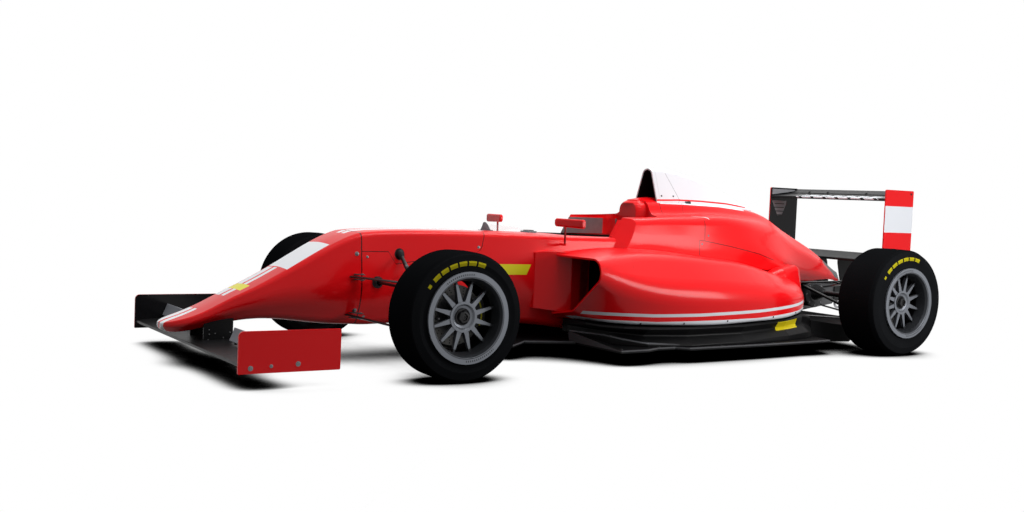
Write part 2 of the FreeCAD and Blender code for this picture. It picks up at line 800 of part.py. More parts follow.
def rim(x, y, radius, width):
    """Wheel rim on the left side: barrel, outer flange, twelve spokes and the hub ring."""
    half = width / 2
    face = y + half + RIM_FACE_PROUD
    barrel = [
        (RIM_SEAT_R, face - 14), (RIM_FLANGE_R, face - 10), (RIM_FLANGE_R, face),
        (RIM_SEAT_R - 4, face), (RIM_SEAT_R - 12, face - 16), (RIM_SEAT_R - 22, face - 70),
        (RIM_SEAT_R - 12, y - half + 14), (RIM_SEAT_R - 6, y - half), (RIM_SEAT_R + 14, y - half),
        (RIM_SEAT_R + 14, y - half + 6), (RIM_SEAT_R, y - half + 12),
    ]
    shape = revolved_y(barrel, x, radius)
    dish = face - DISH_DEPTH
    ring = revolved_y([(34, dish - 16), (56, dish - 16), (63, dish + 18), (53, dish + 18), (46, dish + 10),
                       (34, dish + 6)], x, radius)
    spokes = []
    for i in range(SPOKES):
        inner = [V(x - 11, dish - 10, radius + 55), V(x + 11, dish - 10, radius + 55),
                 V(x + 11, dish + 15, radius + 55), V(x - 11, dish + 15, radius + 55)]
        outer = [V(x - 4, dish - 2, radius + RIM_SEAT_R - 16), V(x + 4, dish - 2, radius + RIM_SEAT_R - 16),
                 V(x + 4, dish + 12, radius + RIM_SEAT_R - 16), V(x - 4, dish + 12, radius + RIM_SEAT_R - 16)]
        spoke = loft([Part.makePolygon(inner + [inner[0]]), Part.makePolygon(outer + [outer[0]])], True)
        spoke.rotate(V(x, 0, radius), V(0, 1, 0), 360.0 * (i + 0.5) / SPOKES)
        spokes.append(spoke)
    return shape.fuse([ring] + spokes).removeSplitter()


def hub(x, y, radius, width, shaft_to=None):
    """Hub, wheel nut and brake disc; at the rear the half shaft turns with them."""
    half = width / 2
    face = y + half + RIM_FACE_PROUD
    dish = face - DISH_DEPTH
    profile = [
        (0, dish + 16), (22, dish + 16), (22, dish + 5), (33.9, dish + 3), (33.9, dish - 16),
        (50, dish - 16), (50, dish - 28), (32, dish - 28), (32, dish - 60), (DISC_R, dish - 60),
        (DISC_R, dish - 74), (32, dish - 74), (32, dish - 96), (0, dish - 96),
    ]
    shape = revolved_y(profile, x, radius)
    if shaft_to is not None:
        shaft = tube(V(x, shaft_to, radius), V(x, dish - 96 + 1, radius), 15)
        shape = shape.fuse(shaft).removeSplitter()
    return shape


def upright(balls, x, y, radius, width, arm):
    """Knuckle on the left side: slab with the bearing bore, lugs, pins, caliper, steering arm."""
    low, high = balls
    axis = (high - low).normalize()
    dish = y + width / 2 + RIM_FACE_PROUD - DISH_DEPTH
    inside = dish - 132
    body = [
        (V(x - 30, inside, low.z + 10), 8.0),
        (V(x + 30, inside, low.z + 10), 8.0),
        (V(x + 52, inside, radius), 14.0),
        (V(x + 24, inside, high.z - 10), 8.0),
        (V(x - 34, inside, high.z - 10), 8.0),
        (V(x - 52, inside, radius), 14.0),
    ]
    pieces = [Part.Face(rounded_wire(body)).extrude(V(0, 34, 0))]
    for ball, up in ((low, axis), (high, axis * -1.0)):
        near = ball + up * (EYE_HALF + 3)
        far = ball + up * (EYE_HALF + 19)
        z0, z1 = sorted((near.z, far.z))
        pieces.append(tube(near, far, EYE_R))
        pieces.append(box(ball.x - EYE_R, ball.x + EYE_R, ball.y, inside + 10, z0, z1))
        pieces.append(tube(ball - up * (EYE_HALF + 1), far, PIN_R))
    ring = revolved_y([(98, dish - 90), (CALIPER_R, dish - 90), (CALIPER_R, dish - 44), (98, dish - 44)],
                      x, radius)
    slot = revolved_y([(90, dish - 79), (DISC_R + 5, dish - 79), (DISC_R + 5, dish - 55),
                       (90, dish - 55)], x, radius)
    keep = box(x - 170, x - 60, y - 300, y + 300, radius - 45, radius + 75)
    pieces.append(ring.cut(slot).common(keep))
    pieces.append(box(x - 118, x - 40, inside + 4, dish - 82, radius - 20, radius + 40))
    if arm is not None:
        pieces.append(blade(V(x + 10, inside + 17, arm.z), arm, 26, 16, V(0, 1, 0)))
    bore = tube(V(x, inside - 60, radius), V(x, inside + 200, radius), 33)
    return pieces[0].fuse(pieces[1:]).cut(bore).removeSplitter()


# ---------------------------------------------------------------- controls and trim
WHEEL_CENTRE = V(118, 0, 492)
COLUMN_AXIS = V(-0.93, 0, 0.37).normalize()


def steering_wheel():
    """Butterfly-shaped wheel with a flat front and two hand grips, on its column."""
    half = [(62, 62), (122, 40), (128, -30), (98, -60)]
    outline = half + [(-y, z) for y, z in reversed(half)]
    corners = [(V(0, y, z), 16.0) for y, z in outline]
    pad = Part.Face(rounded_wire(corners)).extrude(V(24, 0, 0))
    grips = []
    for side in (1, -1):
        hole = [(V(-10, side * 62, 20), 8.0), (V(-10, side * 104, 16), 8.0),
                (V(-10, side * 106, -30), 8.0), (V(-10, side * 66, -30), 8.0)]
        grips.append(Part.Face(rounded_wire(hole)).extrude(V(60, 0, 0)))
    pad = pad.cut(grips[0]).cut(grips[1])
    column = tube(V(23, 0, 0), V(190, 0, 0), 14)
    shape = pad.fuse(column).removeSplitter()
    angle = math.degrees(math.atan2(COLUMN_AXIS.z, -COLUMN_AXIS.x))
    shape.rotate(V(0, 0, 0), V(0, 1, 0), angle)
    shape.translate(WHEEL_CENTRE)
    return shape


def dashboard():
    """Cross panel inside the tub that holds the column."""
    panel = box(290, 304, -230, 230, 330, 575)
    bore = tube(WHEEL_CENTRE, WHEEL_CENTRE - COLUMN_AXIS * 400, 20)
    return panel.common(hull(TUB_ROWS, TUB_WALL + 0.5)).cut(bore)


def mirrors():
    """Mirror housings on thin stalks from the tub's sides."""
    sections = [
        # y, front x, rear x, low z, high z
        (244, 316, 304, 645, 660),
        (247, 318, 302, 638, 667),
        (254, 319, 300, 632, 672),
        (425, 290, 267, 628, 671),
        (430, 289, 267, 630, 669),
        (433, 287, 269, 635, 664),
    ]
    body = loft([rounded_wire([(V(front, y, low), 9), (V(front, y, high), 9), (V(rear, y, high), 9),
                               (V(rear, y, low), 9)]) for y, front, rear, low, high in sections], True)
    stalk = tube(V(296, 306, 640), V(294, 306, 546), 5)
    foot = tube(V(294, 310, 546), V(262, 225, 543), 6)
    pod = body.fuse([stalk, foot]).removeSplitter()
    return pair(pod.cut(hull(TUB_ROWS)))


def radiators():
    core = box(-520, -470, 290, 590, 190, 440)
    return pair(core.common(pod_body(POD_WALL)))


def track_rods():
    """Rack bar across the tub with its two rods out to the steering arms."""
    pieces = [tube(V(RACK_X, -176, RACK_Z), V(RACK_X, 176, RACK_Z), 11)]
    for side in (1, -1):
        end = V(RACK_X, side * 600, RACK_Z)
        pieces.append(tube(V(RACK_X, side * 175, RACK_Z), end, 7))
        pieces.append(tube(end, end - V(0, 0, ARM_DROP - 9.0), 7))
    return pieces[0].fuse(pieces[1:]).removeSplitter()


# ---------------------------------------------------------------- write every node
def build():
    os.makedirs("parts", exist_ok=True)
    write("nose_cone", nose_cone())
    write("front_wing_pylons", front_wing_pylons())
    write("front_wing", front_wing())
    write("front_wing_flaps", front_wing_flaps())
    left, right = pair(front_endplate())
    write("front_left_endplate", left)
    write("front_right_endplate", right)
    write("monocoque", monocoque())
    write("front_hatch", front_hatch())
    write("cockpit_collar", cockpit_collar())
    write("seat", seat())
    write("dashboard", dashboard())
    write("steering_wheel", steering_wheel())
    write("intake_duct", intake_duct())
    write("airbox_cover", airbox_cover())
    write("engine_cover", engine_cover())
    left, right = pair(sidepod())
    write("left_sidepod", left)
    write("right_sidepod", right)
    write("sidepod_sills", pair(sill()))
    write("floor", floor())
    write("diffuser", diffuser())
    write("rear_wing", rear_wing())
    write("rear_lower_wing", rear_lower_wing())
    left, right = pair(rear_endplate())
    write("rear_left_endplate", left)
    write("rear_right_endplate", right)
    write("rear_wing_pylons", rear_wing_pylons())
    write("engine", engine())
    write("gearbox", gearbox())
    write("crash_box", crash_box())
    write("tow_eye", tow_eye())
    write("radiators", radiators())
    write("mirrors", mirrors())
    write("front_suspension", front_suspension())
    write("rear_suspension", rear_suspension())
    write("track_rods", track_rods())
    corners = (
        ("front", FRONT_AXLE_X, FRONT_WHEEL_Y, FRONT_TYRE_R, FRONT_TYRE_WIDTH, None),
        ("rear", REAR_AXLE_X, REAR_WHEEL_Y, REAR_TYRE_R, REAR_TYRE_WIDTH, 192.0),
    )
    for end, x, y, radius, width, shaft in corners:
        for side, flip in (("left", False), ("right", True)):
            pieces = {"tyre": tyre(x, y, radius, width), "rim": rim(x, y, radius, width),
                      "hub": hub(x, y, radius, width, shaft)}
            for name, shape in pieces.items():
                write(end + "_" + side + "_" + name, mirrored(shape) if flip else shape)
    knuckle = upright(FRONT_BALLS, FRONT_AXLE_X, FRONT_WHEEL_Y, FRONT_TYRE_R, FRONT_TYRE_WIDTH,
                      V(RACK_X, 606, RACK_Z - ARM_DROP))
    write("front_left_upright", knuckle)
    write("front_right_upright", mirrored(knuckle))
    carrier = upright(REAR_BALLS, REAR_AXLE_X, REAR_WHEEL_Y, REAR_TYRE_R, REAR_TYRE_WIDTH, None)
    write("rear_uprights", pair(carrier))


build()
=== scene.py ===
"""Open wheel racing car: the finish of every surface and the small fittings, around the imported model.

Lengths are in millimetres and become metres when a mesh is made; lamps and camera are in metres.
+X forward, +Y to the car's left, +Z up, ground at z = 0.
"""
import bpy
import bmesh
import json
import math
from mathutils import Matrix, Vector
from mathutils.bvhtree import BVHTree


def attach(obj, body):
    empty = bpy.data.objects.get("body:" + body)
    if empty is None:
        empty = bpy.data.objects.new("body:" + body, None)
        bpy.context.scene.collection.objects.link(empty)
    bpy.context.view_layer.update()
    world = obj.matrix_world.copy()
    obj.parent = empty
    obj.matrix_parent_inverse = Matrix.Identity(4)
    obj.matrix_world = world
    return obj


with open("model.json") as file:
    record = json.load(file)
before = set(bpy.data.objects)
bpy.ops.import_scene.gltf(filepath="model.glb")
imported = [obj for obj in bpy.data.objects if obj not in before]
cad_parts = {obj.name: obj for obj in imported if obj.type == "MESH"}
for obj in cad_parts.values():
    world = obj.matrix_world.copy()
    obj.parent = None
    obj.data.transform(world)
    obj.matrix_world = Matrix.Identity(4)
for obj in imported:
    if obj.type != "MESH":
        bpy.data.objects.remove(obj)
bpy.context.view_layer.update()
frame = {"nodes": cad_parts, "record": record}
NODES = frame["nodes"]
SLOT_OF = {entry["node"]: entry["material_slot"] for entry in frame["record"]["subparts"]}

RED = (0.80, 0.004, 0.007)
WHITE = (0.76, 0.78, 0.82)
BRIGHT = (0.88, 0.89, 0.91)
YELLOW = (0.62, 0.50, 0.01)
BLACK = (0.006, 0.006, 0.007)
SEAM = (0.035, 0, 0.001)

SIDES = (1, -1)
AHEAD, LEFT, UP = Vector((1, 0, 0)), Vector((0, 1, 0)), Vector((0, 0, 1))
# wheel: centre x, centre z, y of the tyre's middle, tyre radius, tyre width
WHEELS = {
    "front_left": (1145, 269, 736, 269, 215),
    "front_right": (1145, 269, -736, 269, 215),
    "rear_left": (-1605, 286.5, 720, 286.5, 249),
    "rear_right": (-1605, 286.5, -720, 286.5, 249),
}
RIM_PROUD = 7     # the rim's face stands this far out of the tyre's wall
DISH = 62         # and the hub's face lies this far behind the rim's


# ---------------- shader helpers
def put(tree, socket, value):
    """Links value to a socket or sets it there; a colour is given without its alpha."""
    if isinstance(value, Value):
        value = value.socket
    if isinstance(value, bpy.types.NodeSocket):
        tree.links.new(value, socket)
    elif socket.type == "RGBA":
        socket.default_value = (*value, 1)
    else:
        socket.default_value = value


def add_node(tree, kind, inputs, **settings):
    made = tree.nodes.new("ShaderNode" + kind)
    for key, value in settings.items():
        setattr(made, key, value)
    for key, value in inputs.items():
        put(tree, made.inputs[key], value)
    return made


class Value:
    """A number at each point of a surface, with arithmetic.

    A mask is a value that is 1 where paint goes and 0 elsewhere; & and | join two masks.
    """

    def __init__(self, finish, socket):
        self.finish = finish
        self.socket = socket

    def math(self, operation, b=0, c=0, clamp=False):
        return self.finish.math(operation, self, b, c, clamp)

    def __add__(self, other):
        return self.math("ADD", other)

    def __sub__(self, other):
        return self.math("SUBTRACT", other)

    def __rsub__(self, other):
        return self.finish.math("SUBTRACT", other, self)

    def __mul__(self, other):
        return self.math("MULTIPLY", other)

    def __and__(self, other):
        return self.math("MULTIPLY", other)

    def __or__(self, other):
        return self.math("MAXIMUM", other)

    def __abs__(self):
        return self.math("ABSOLUTE")

    def above(self, edge, soft=1):
        """1 where this is over edge and 0 under it, with an edge soft wide."""
        return (self - edge).math("MULTIPLY_ADD", 1 / soft, 0.5, clamp=True)

    def below(self, edge, soft=1):
        return (edge - self).math("MULTIPLY_ADD", 1 / soft, 0.5, clamp=True)

    def band(self, low, high, soft=1):
        return self.above(low, soft) & self.below(high, soft)

    def wave(self, pace):
        return (self * pace).math("SINE")

    def share(self, step):
        """How far along its own step each point is, 0 to 1."""
        return (self * (1 / step)).math("FRACT")

    def spread(self, low, high):
        """Maps 0..1 to low..high."""
        made = add_node(self.finish.tree, "MapRange", {"Value": self, "To Min": low, "To Max": high})
        return Value(self.finish, made.outputs[0])

    def line(self, *points):
        """Straight runs through points (this, result), in rising order, held level past the ends."""
        held = self.math("MAXIMUM", points[0][0]).math("MINIMUM", points[-1][0])
        result = points[0][1]
        slope = 0
        for (a, at_a), (b, at_b) in zip(points, points[1:]):
            turn = (at_b - at_a) / (b - a) - slope
            slope += turn
            result = (held - a).math("MAXIMUM").math("MULTIPLY_ADD", turn, result)
        return result

    def ribbon(self, across, width, *points):
        """A stripe width wide along the points (this, across), between the first and the last."""
        off = abs(across - self.line(*points))
        return off.below(width / 2) & self.band(points[0][0], points[-1][0], 2)


class Finish:
    """A Principled material whose inputs take values worked out from the place, in millimetres."""

    def __init__(self, name, color, roughness, metallic=0, coat=0, coat_roughness=0.05,
                 specular=0.5, coat_ior=1.42):
        self.material = bpy.data.materials.new(name)
        self.material.use_nodes = True
        self.tree = self.material.node_tree
        self.shader = self.tree.nodes["Principled BSDF"]
        for socket, value in (("Base Color", color), ("Roughness", roughness), ("Metallic", metallic),
                              ("Specular IOR Level", specular), ("Coat Weight", coat),
                              ("Coat Roughness", coat_roughness), ("Coat IOR", coat_ior)):
            self.set(socket, value)
        self.current = color
        self.coords = add_node(self.tree, "TexCoord", {}).outputs
        metres = add_node(self.tree, "VectorMath", {0: self.coords["Object"], "Scale": 1000}, operation="SCALE")
        self.place = self.split(metres.outputs[0])
        self.normals = None

    def set(self, socket, value):
        put(self.tree, self.shader.inputs[socket], value)

    def split(self, vector):
        return [Value(self, part) for part in add_node(self.tree, "SeparateXYZ", {0: vector}).outputs]

    def facing(self):
        """The parts of the surface's own direction along x, y and z."""
        if self.normals is None:
            self.normals = self.split(self.coords["Normal"])
        return self.normals

    def math(self, operation, a, b=0, c=0, clamp=False):
        made = add_node(self.tree, "Math", {0: a, 1: b, 2: c}, operation=operation, use_clamp=clamp)
        return Value(self, made.outputs[0])

    def polar(self, cx, cz):
        """Distance and angle in degrees about the line along Y through (cx, cz)."""
        x, _, z = self.place
        dx, dz = x - cx, z - cz
        return (dx * dx + dz * dz).math("SQRT"), dz.math("ARCTAN2", dx) * (180 / math.pi)

    def inward(self, cy, cz):
        """1 on faces that look at the line along X through (cy, cz): the inside of a shell round it."""
        _, y, z = self.place
        _, ny, nz = self.facing()
        return ((y - cy) * ny + (z - cz) * nz).below(0, 4)

    def noise(self, scale, detail=3, stretch=None):
        """Noise with scale lumps a metre, drawn finer along the axes that stretch enlarges."""
        source = self.coords["Object"]
        if stretch is not None:
            source = add_node(self.tree, "Mapping", {"Vector": source, "Scale": stretch}).outputs[0]
        made = add_node(self.tree, "TexNoise", {"Vector": source, "Scale": scale, "Detail": detail})
        return Value(self, made.outputs["Fac"])

    def layer(self, mask, color):
        """Paints color where mask is 1, over what is there."""
        made = add_node(self.tree, "Mix", {}, data_type="RGBA")
        for key, value in (("Factor", mask), (6, self.current), (7, color)):
            put(self.tree, made.inputs[key], value)
        self.current = made.outputs[2]
        self.set("Base Color", self.current)

    def vary(self, scale, amount):
        """Lightens and darkens the colour by amount with a noise."""
        made = add_node(self.tree, "HueSaturation",
                        {"Value": self.noise(scale).spread(1 - amount, 1 + amount), "Color": self.current})
        self.current = made.outputs[0]
        self.set("Base Color", self.current)

    def uneven(self, scale, low, high):
        """Roughness that wanders between low and high."""
        self.set("Roughness", self.noise(scale).spread(low, high))

    def bump(self, height, distance, strength):
        """Relief of distance millimetres."""
        made = add_node(self.tree, "Bump",
                        {"Distance": distance / 1000, "Strength": strength, "Height": height})
        self.set("Normal", made.outputs[0])


# ---------------- general finishes
def paint(name, color):
    """Lacquered bodywork: fine orange peel and a slightly uneven gloss."""
    finish = Finish(name, color, 0.36, coat=0.3, coat_roughness=0.15, specular=0.05, coat_ior=1.45)
    finish.uneven(14, 0.32, 0.42)
    finish.bump(finish.noise(420, 2), 0.02, 0.2)
    return finish


def carbon(name, level, roughness, coat=0, specular=0.14):
    """Black carbon fibre: a 3 mm twill under resin."""
    grey = (level, level, level * 1.06)
    finish = Finish(name, grey, roughness, coat=coat, specular=specular)
    x, y, z = finish.place
    along = x + z
    cross = y + z * 0.6
    weave = ((along + cross).wave(1.05) * (along - cross).wave(2.1)).spread(0.5, 1)
    finish.layer(weave, tuple(1.5 * part for part in grey))
    finish.vary(5, 0.12)
    finish.uneven(30, roughness - 0.06, roughness + 0.06)
    return finish


def metal(name, level, roughness, metallic=0.9, grain=None):
    """Plain metal with fine machining or casting marks."""
    finish = Finish(name, (level, level, level * 1.04), roughness, metallic, specular=0.4)
    finish.vary(22, 0.18)
    finish.uneven(90, roughness - 0.08, roughness + 0.08)
    if grain == "cast":
        finish.bump(finish.noise(900, 4), 0.25, 0.6)
    elif grain == "brushed":
        finish.bump(finish.noise(300, 2, stretch=(1, 30, 30)), 0.05, 0.3)
    return finish


def moulded(name, color, roughness, lumps, relief, strength, specular=0.2):
    """Rubber or plastic with a fine moulded grain."""
    finish = Finish(name, color, roughness, specular=specular)
    finish.bump(finish.noise(lumps), relief, strength)
    return finish


# ---------------- bodywork colours and markings
def nose_marks(finish):
    """White stripes, blank number panel and yellow block, over the nose and the tub's top."""
    x, y, _ = finish.place
    top = finish.facing()[2].above(0.35, 0.1) | x.above(2112, 4)
    across = y - x.line((1990, 0), (2142, 30))
    stripes = across.band(-98, -42) | across.band(-19, 14)
    finish.layer(top & stripes & (x.band(1990, 2160) | x.band(1639, 1877)), BRIGHT)
    finish.layer(top & x.band(1778, 1821) & y.band(-95, 58), (0.86, 0.77, 0.006))
    finish.layer(top & x.band(1437, 1632) & y.band(-135, 110), BRIGHT)
    taper = x.line((600, 62), (1180, 60), (1335, 44))
    finish.layer(top & abs(y).band(8, taper) & x.band(600, 1338), BRIGHT)
    return finish


def tub_finish():
    """Red tub and hatch with their seams, pushrod holes and plain yellow bars, dark inside."""
    finish = nose_marks(paint("red_paint_tub", RED))
    x, y, z = finish.place
    side = abs(y)
    finish.layer(x.band(1299, 1304.5, 0.8), SEAM)
    hatch = (x.ribbon(z, 3.4, (1134, 439), (1170, 494), (1303, 494))
             | x.ribbon(z, 3.4, (745, 494), (1134, 439))
             | z.ribbon(x, 3.4, (494, 748), (499, 722), (508, 708), (526, 698),
                        (560, 690), (596, 681)))
    finish.layer(hatch, SEAM)
    dx = (x - 1116).math("DIVIDE", 24)
    dz = (z - 484).math("DIVIDE", 27)
    finish.layer((dx * dx + dz * dz).below(1, 0.12) & side.above(140), (0.003, 0.003, 0.003))
    bar = side.above(150) & z.band(394, 444) & x.band(z.line((394, 460), (444, 434)),
                                                            z.line((394, 640), (444, 614)))
    finish.layer(bar, (0.80, 0.70, 0.02))
    finish.layer(finish.inward(0, 380) & x.below(1290), (0.014, 0.011, 0.011))
    return finish


def cover_finish():
    """Red engine cover: white along the foot of the airbox spine, a white dash, seams, dark inside."""
    finish = paint("red_paint_cover", RED)
    x, y, z = finish.place
    side = abs(y)
    foot = x.line((-1110, 742), (-899, 759), (-644, 764), (-472, 764))
    finish.layer(z.band(foot, 900) & side.above(62) & x.band(-1105, -472), WHITE)
    dash = x.ribbon(side, 11, (-662, 277), (-598, 212))
    finish.layer(finish.facing()[2].above(0.5, 0.2) & dash, WHITE)
    seams = (z.ribbon(x, 3.2, (700, -457), (766, -463)) & side.below(160)
             | z.ribbon(x, 3.2, (706, -596), (768, -627)) & side.below(165)
             | z.ribbon(x, 3.2, (578, -607), (690, -621)) & side.above(250)
             | z.ribbon(x, 3.2, (500, -574), (578, -571)) & side.above(290)
             | x.ribbon(z, 3.2, (-1150, 478), (-1012, 513), (-785, 552),
                        (-607, 578), (-571, 579)) & side.above(240))
    finish.layer(seams, SEAM)
    finish.layer(finish.inward(0, 520) & x.below(-392), (0.012, 0.012, 0.013))
    return finish


def pod_finish():
    """Red pod with two white lines low on its side, two seams, and painted shade that makes its duct near black."""
    finish = paint("red_paint_pod", RED)
    x, y, z = finish.place
    side = abs(y)
    low = x.line((-1190, 233), (-1110, 226), (-700, 206), (-45, 197), (235, 206),
                 (292, 213))
    finish.layer(side.above(330) & z.below(low) & x.below(292), WHITE)
    finish.layer(side.above(330) & x.ribbon(
        z, 15.5, (-1190, 266), (-1090, 259), (-700, 241), (-300, 230), (-31, 228),
        (299, 236)), WHITE)
    seams = (z.ribbon(x, 2.4, (453, 95), (513, 55))
             | z.ribbon(x, 2.4, (452, -139), (505, -278))) & side.above(480)
    finish.layer(seams * 0.55, SEAM)
    _, ny, nz = finish.facing()
    middle = x.line((-1290, 300), (-1020, 335), (-300, 440))
    outward = (side - middle) * (ny * y.math("SIGN")) + (z - 340) * nz
    # painted shade: the faces inside the duct, where shade falls, painted near black
    duct = outward.below(0, 4) & (side.above(335) | x.below(112))
    finish.layer(duct & x.below(316), (0.008, 0.007, 0.007))
    return finish


def airbox_finish():
    """White airbox with a red line along its foot, grey seams, and painted shade that greys its forward-facing front
    faces a little.
    """
    finish = paint("white_paint", (0.74, 0.75, 0.78))
    x, _, z = finish.place
    finish.layer(z.ribbon(x, 3, (772, -607), (790, -616), (930, -545)) * 0.7, (0.10, 0.10, 0.11))
    finish.layer(x.band(-477.5, -475) * 0.25, (0.2, 0.2, 0.21))
    finish.layer(x.ribbon(z, 8.5, (-1164, 762), (-985, 779), (-780, 786.5), (-610, 787.5),
                          (-455, 782)), RED)
    # painted shade: forward-facing faces at the front painted a little greyer
    finish.layer((x.above(-456) & finish.facing()[0].above(0.7)) * 0.15, (0.3, 0.3, 0.3))
    return finish


def mirror_finish():
    """Red mirrors on darker stalks."""
    finish = paint("red_paint_mirror", RED)
    finish.layer(finish.place[2].band(552, 624), (0.30, 0.01, 0.012))
    return finish


def front_plate_finish(name, sign):
    """Red outside and on the edges, bare carbon inside; sign is the plate's side of the car."""
    finish = paint(name, RED)
    finish.layer((finish.facing()[1] * sign).below(-0.7, 0.1), BLACK)
    return finish


def rear_plate_finish(name, sign):
    """A front plate with a white field outside, and inside a pale patch of painted light with dark slots painted in
    place of openings, and a pale top edge.
    """
    finish = front_plate_finish(name, sign)
    x, _, z = finish.place
    outward = finish.facing()[1] * sign
    inner = outward.below(-0.7, 0.1)
    finish.layer(outward.above(0.7, 0.1) & z.band(654, 807), WHITE)
    foot = x.line((-2010, 800), (-1973, 728), (-1933, 721), (-1880, 812))
    # painted light: a pale patch on the inner face; dark slots are painted in place of openings
    patch = inner & z.band(foot, 818) & x.band(-2008, -1880)
    finish.layer(patch, (0.34, 0.345, 0.36))
    slots = z.wave(2 * math.pi / 24).above(0.72, 0.2)
    finish.layer(patch & slots & x.band(-1990, -1902), (0.004, 0.004, 0.004))
    edge = z.band(x.line((-2084, 884), (-1877, 856)), x.line((-2084, 892), (-1877, 892)))
    finish.layer(inner & x.band(-2084, -1877) & edge, (0.30, 0.305, 0.32))
    return finish


def sill_finish():
    """Carbon with a plain yellow block at the rear and a painted highlight: a pale line along the foot's leading
    edge.
    """
    finish = carbon("sill_carbon", 0.0045, 0.32, specular=0.07)
    x, y, z = finish.place
    side = abs(y)
    block = z.band(x.line((-1090, 136), (-885, 128)), x.line((-1090, 182), (-885, 174)))
    finish.layer(x.band(-1090, -885) & block & side.above(400), YELLOW)
    # painted highlight: a pale line along the foot's leading edge, stronger towards the front
    painted_lip_highlight = x.ribbon(z, 7, (-172, 87), (15, 96), (88, 108), (150, 122), (248, 128))
    finish.layer((painted_lip_highlight & side.above(290)) * x.line((-172, 0.1), (150, 0.8)), (0.22, 0.225, 0.24))
    return finish


# ---------------- wheels, carriers and the rest
def tyre_finish(name, corner):
    """Worn slick rubber with raised rings and a broken yellow band on the outer wall."""
    cx, cz, cy, radius, width = WHEELS[corner]
    finish = Finish(name, (0.0085, 0.0090, 0.0100), 0.66, specular=0)
    r, angle = finish.polar(cx, cz)
    wall = ((finish.place[1] - cy) * math.copysign(1, cy)).above(width / 2 - 9, 2)
    finish.vary(9, 0.25)
    finish.layer(r.above(radius - 12, 6) * 0.7, (0.0036, 0.0040, 0.0045))
    outer = radius - (45 if cx > 0 else 46)
    low, high = outer - 12, outer + 7
    blocks = angle.band(42, 110, 0.8) & (angle - 42).share(11.4).band(0.06, 0.86, 0.06) & r.band(low, high)
    lead = angle.band(33, 37, 0.8) & r.band(low + 2, high - 2)
    finish.layer(wall & (blocks | lead), (0.42, 0.36, 0.012))
    rings = (r.band(192, 194) | r.band(201, 203) | r.band(radius - 22, radius - 20)
             | r.band(radius - 17, radius - 16))
    finish.bump(rings + finish.noise(500, 3) * 0.3, 0.6, 0.7)
    finish.uneven(18, 0.52, 0.7)
    return finish


def rim_finish(name, corner):
    """Dark grey wheel: turned flange with fine ticks; painted shade darkens it with depth behind the face, near
    black and not metallic in the barrel behind the spokes.
    """
    cx, cz, cy, _, width = WHEELS[corner]
    finish = Finish(name, (0.165, 0.175, 0.195), 0.42, 0.55, specular=0)
    r, angle = finish.polar(cx, cz)
    depth = (width / 2 + RIM_PROUD) - (finish.place[1] - cy) * math.copysign(1, cy)
    # painted shade: darker the deeper behind the rim's face, behind the flange, in the barrel and in the hub's
    # middle
    finish.layer(depth.above(3, 3) & r.above(136, 4) & r.below(164, 2), (0.035, 0.037, 0.041))
    barrel = depth.above(66, 3) & r.above(60, 4)
    finish.layer(barrel, (0.008, 0.008, 0.009))
    finish.set("Metallic", barrel.math("MULTIPLY_ADD", -0.55, 0.55))
    finish.layer(depth.above(DISH - 14, 4) & r.below(36, 2), (0.03, 0.031, 0.034))
    finish.layer(r.band(163.5, 167.5, 0.8) & depth.below(3), (0.06, 0.062, 0.068))
    arcs = angle.band(50, 97) | angle.band(-133, -86)
    ticks = arcs & angle.share(3.2).band(0.25, 0.75, 0.1) & r.band(172, 180)
    finish.layer(ticks & depth.below(2), (0.05, 0.052, 0.056))
    finish.bump(r.wave(5) * 0.5 + finish.noise(200), 0.02, 0.3)
    finish.uneven(60, 0.36, 0.48)
    return finish


def hub_finish(name, corner):
    """Black nut, and a ground disc with rows of drilled holes and a dark bell."""
    finish = metal(name, 0.055, 0.42, 0.75)
    r, angle = finish.polar(*WHEELS[corner][:2])
    ring = r.band(84, 125)
    row = angle.share(12)
    slant = (angle * (1 / 12) + r * 0.012).math("FRACT")
    holes = (r.band(92, 97) & row.band(0.40, 0.66, 0.05) | r.band(103, 108) & slant.band(0.42, 0.64, 0.05)
             | r.band(114, 119) & row.band(0.12, 0.32, 0.05))
    finish.layer(ring, (0.085, 0.083, 0.08))
    finish.layer(ring & holes, (0.002, 0.002, 0.002))
    finish.layer(r.below(34.5), (0.012, 0.012, 0.013))
    finish.bump(r.wave(4), 0.02, 0.25)
    return finish


def upright_finish(name, corner):
    """Machined carrier; the calliper behind the axle is dark with a thin yellow line."""
    finish = metal(name, 0.045, 0.45, 0.8)
    cx, cz = WHEELS[corner][:2]
    r, _ = finish.polar(cx, cz)
    calliper = r.above(96, 2) & finish.place[0].below(cx - 58, 2)
    finish.layer(calliper, (0.03, 0.03, 0.031))
    finish.layer(calliper & r.band(118, 125), (0.34, 0.31, 0.02))
    return finish


def radiator_finish():
    """Core: thin upright fins between flat tubes."""
    finish = Finish("radiator_core", (0.035, 0.035, 0.037), 0.5, 0.7, specular=0.3)
    _, y, z = finish.place
    tubes = z.wave(2 * math.pi / 10).above(0.55, 0.2)
    finish.layer(tubes, (0.11, 0.11, 0.115))
    finish.bump(tubes + y.wave(2 * math.pi / 2.4) * 0.4, 0.8, 0.8)
    return finish


def crash_box_finish():
    """Carbon, with a red rain light whose lens has a grid of small cells."""
    finish = carbon("crash_carbon", 0.008, 0.4)
    x, y, z = finish.place
    lens = x.below(-2121) & y.band(-42, 42) & z.band(253, 307)
    cells = y.share(12).band(0.12, 0.88, 0.1) & z.share(13.5).band(0.12, 0.88, 0.1)
    finish.layer(lens, (0.10, 0.001, 0.001))
    finish.layer(lens & cells, (0.42, 0.004, 0.004))
    return finish


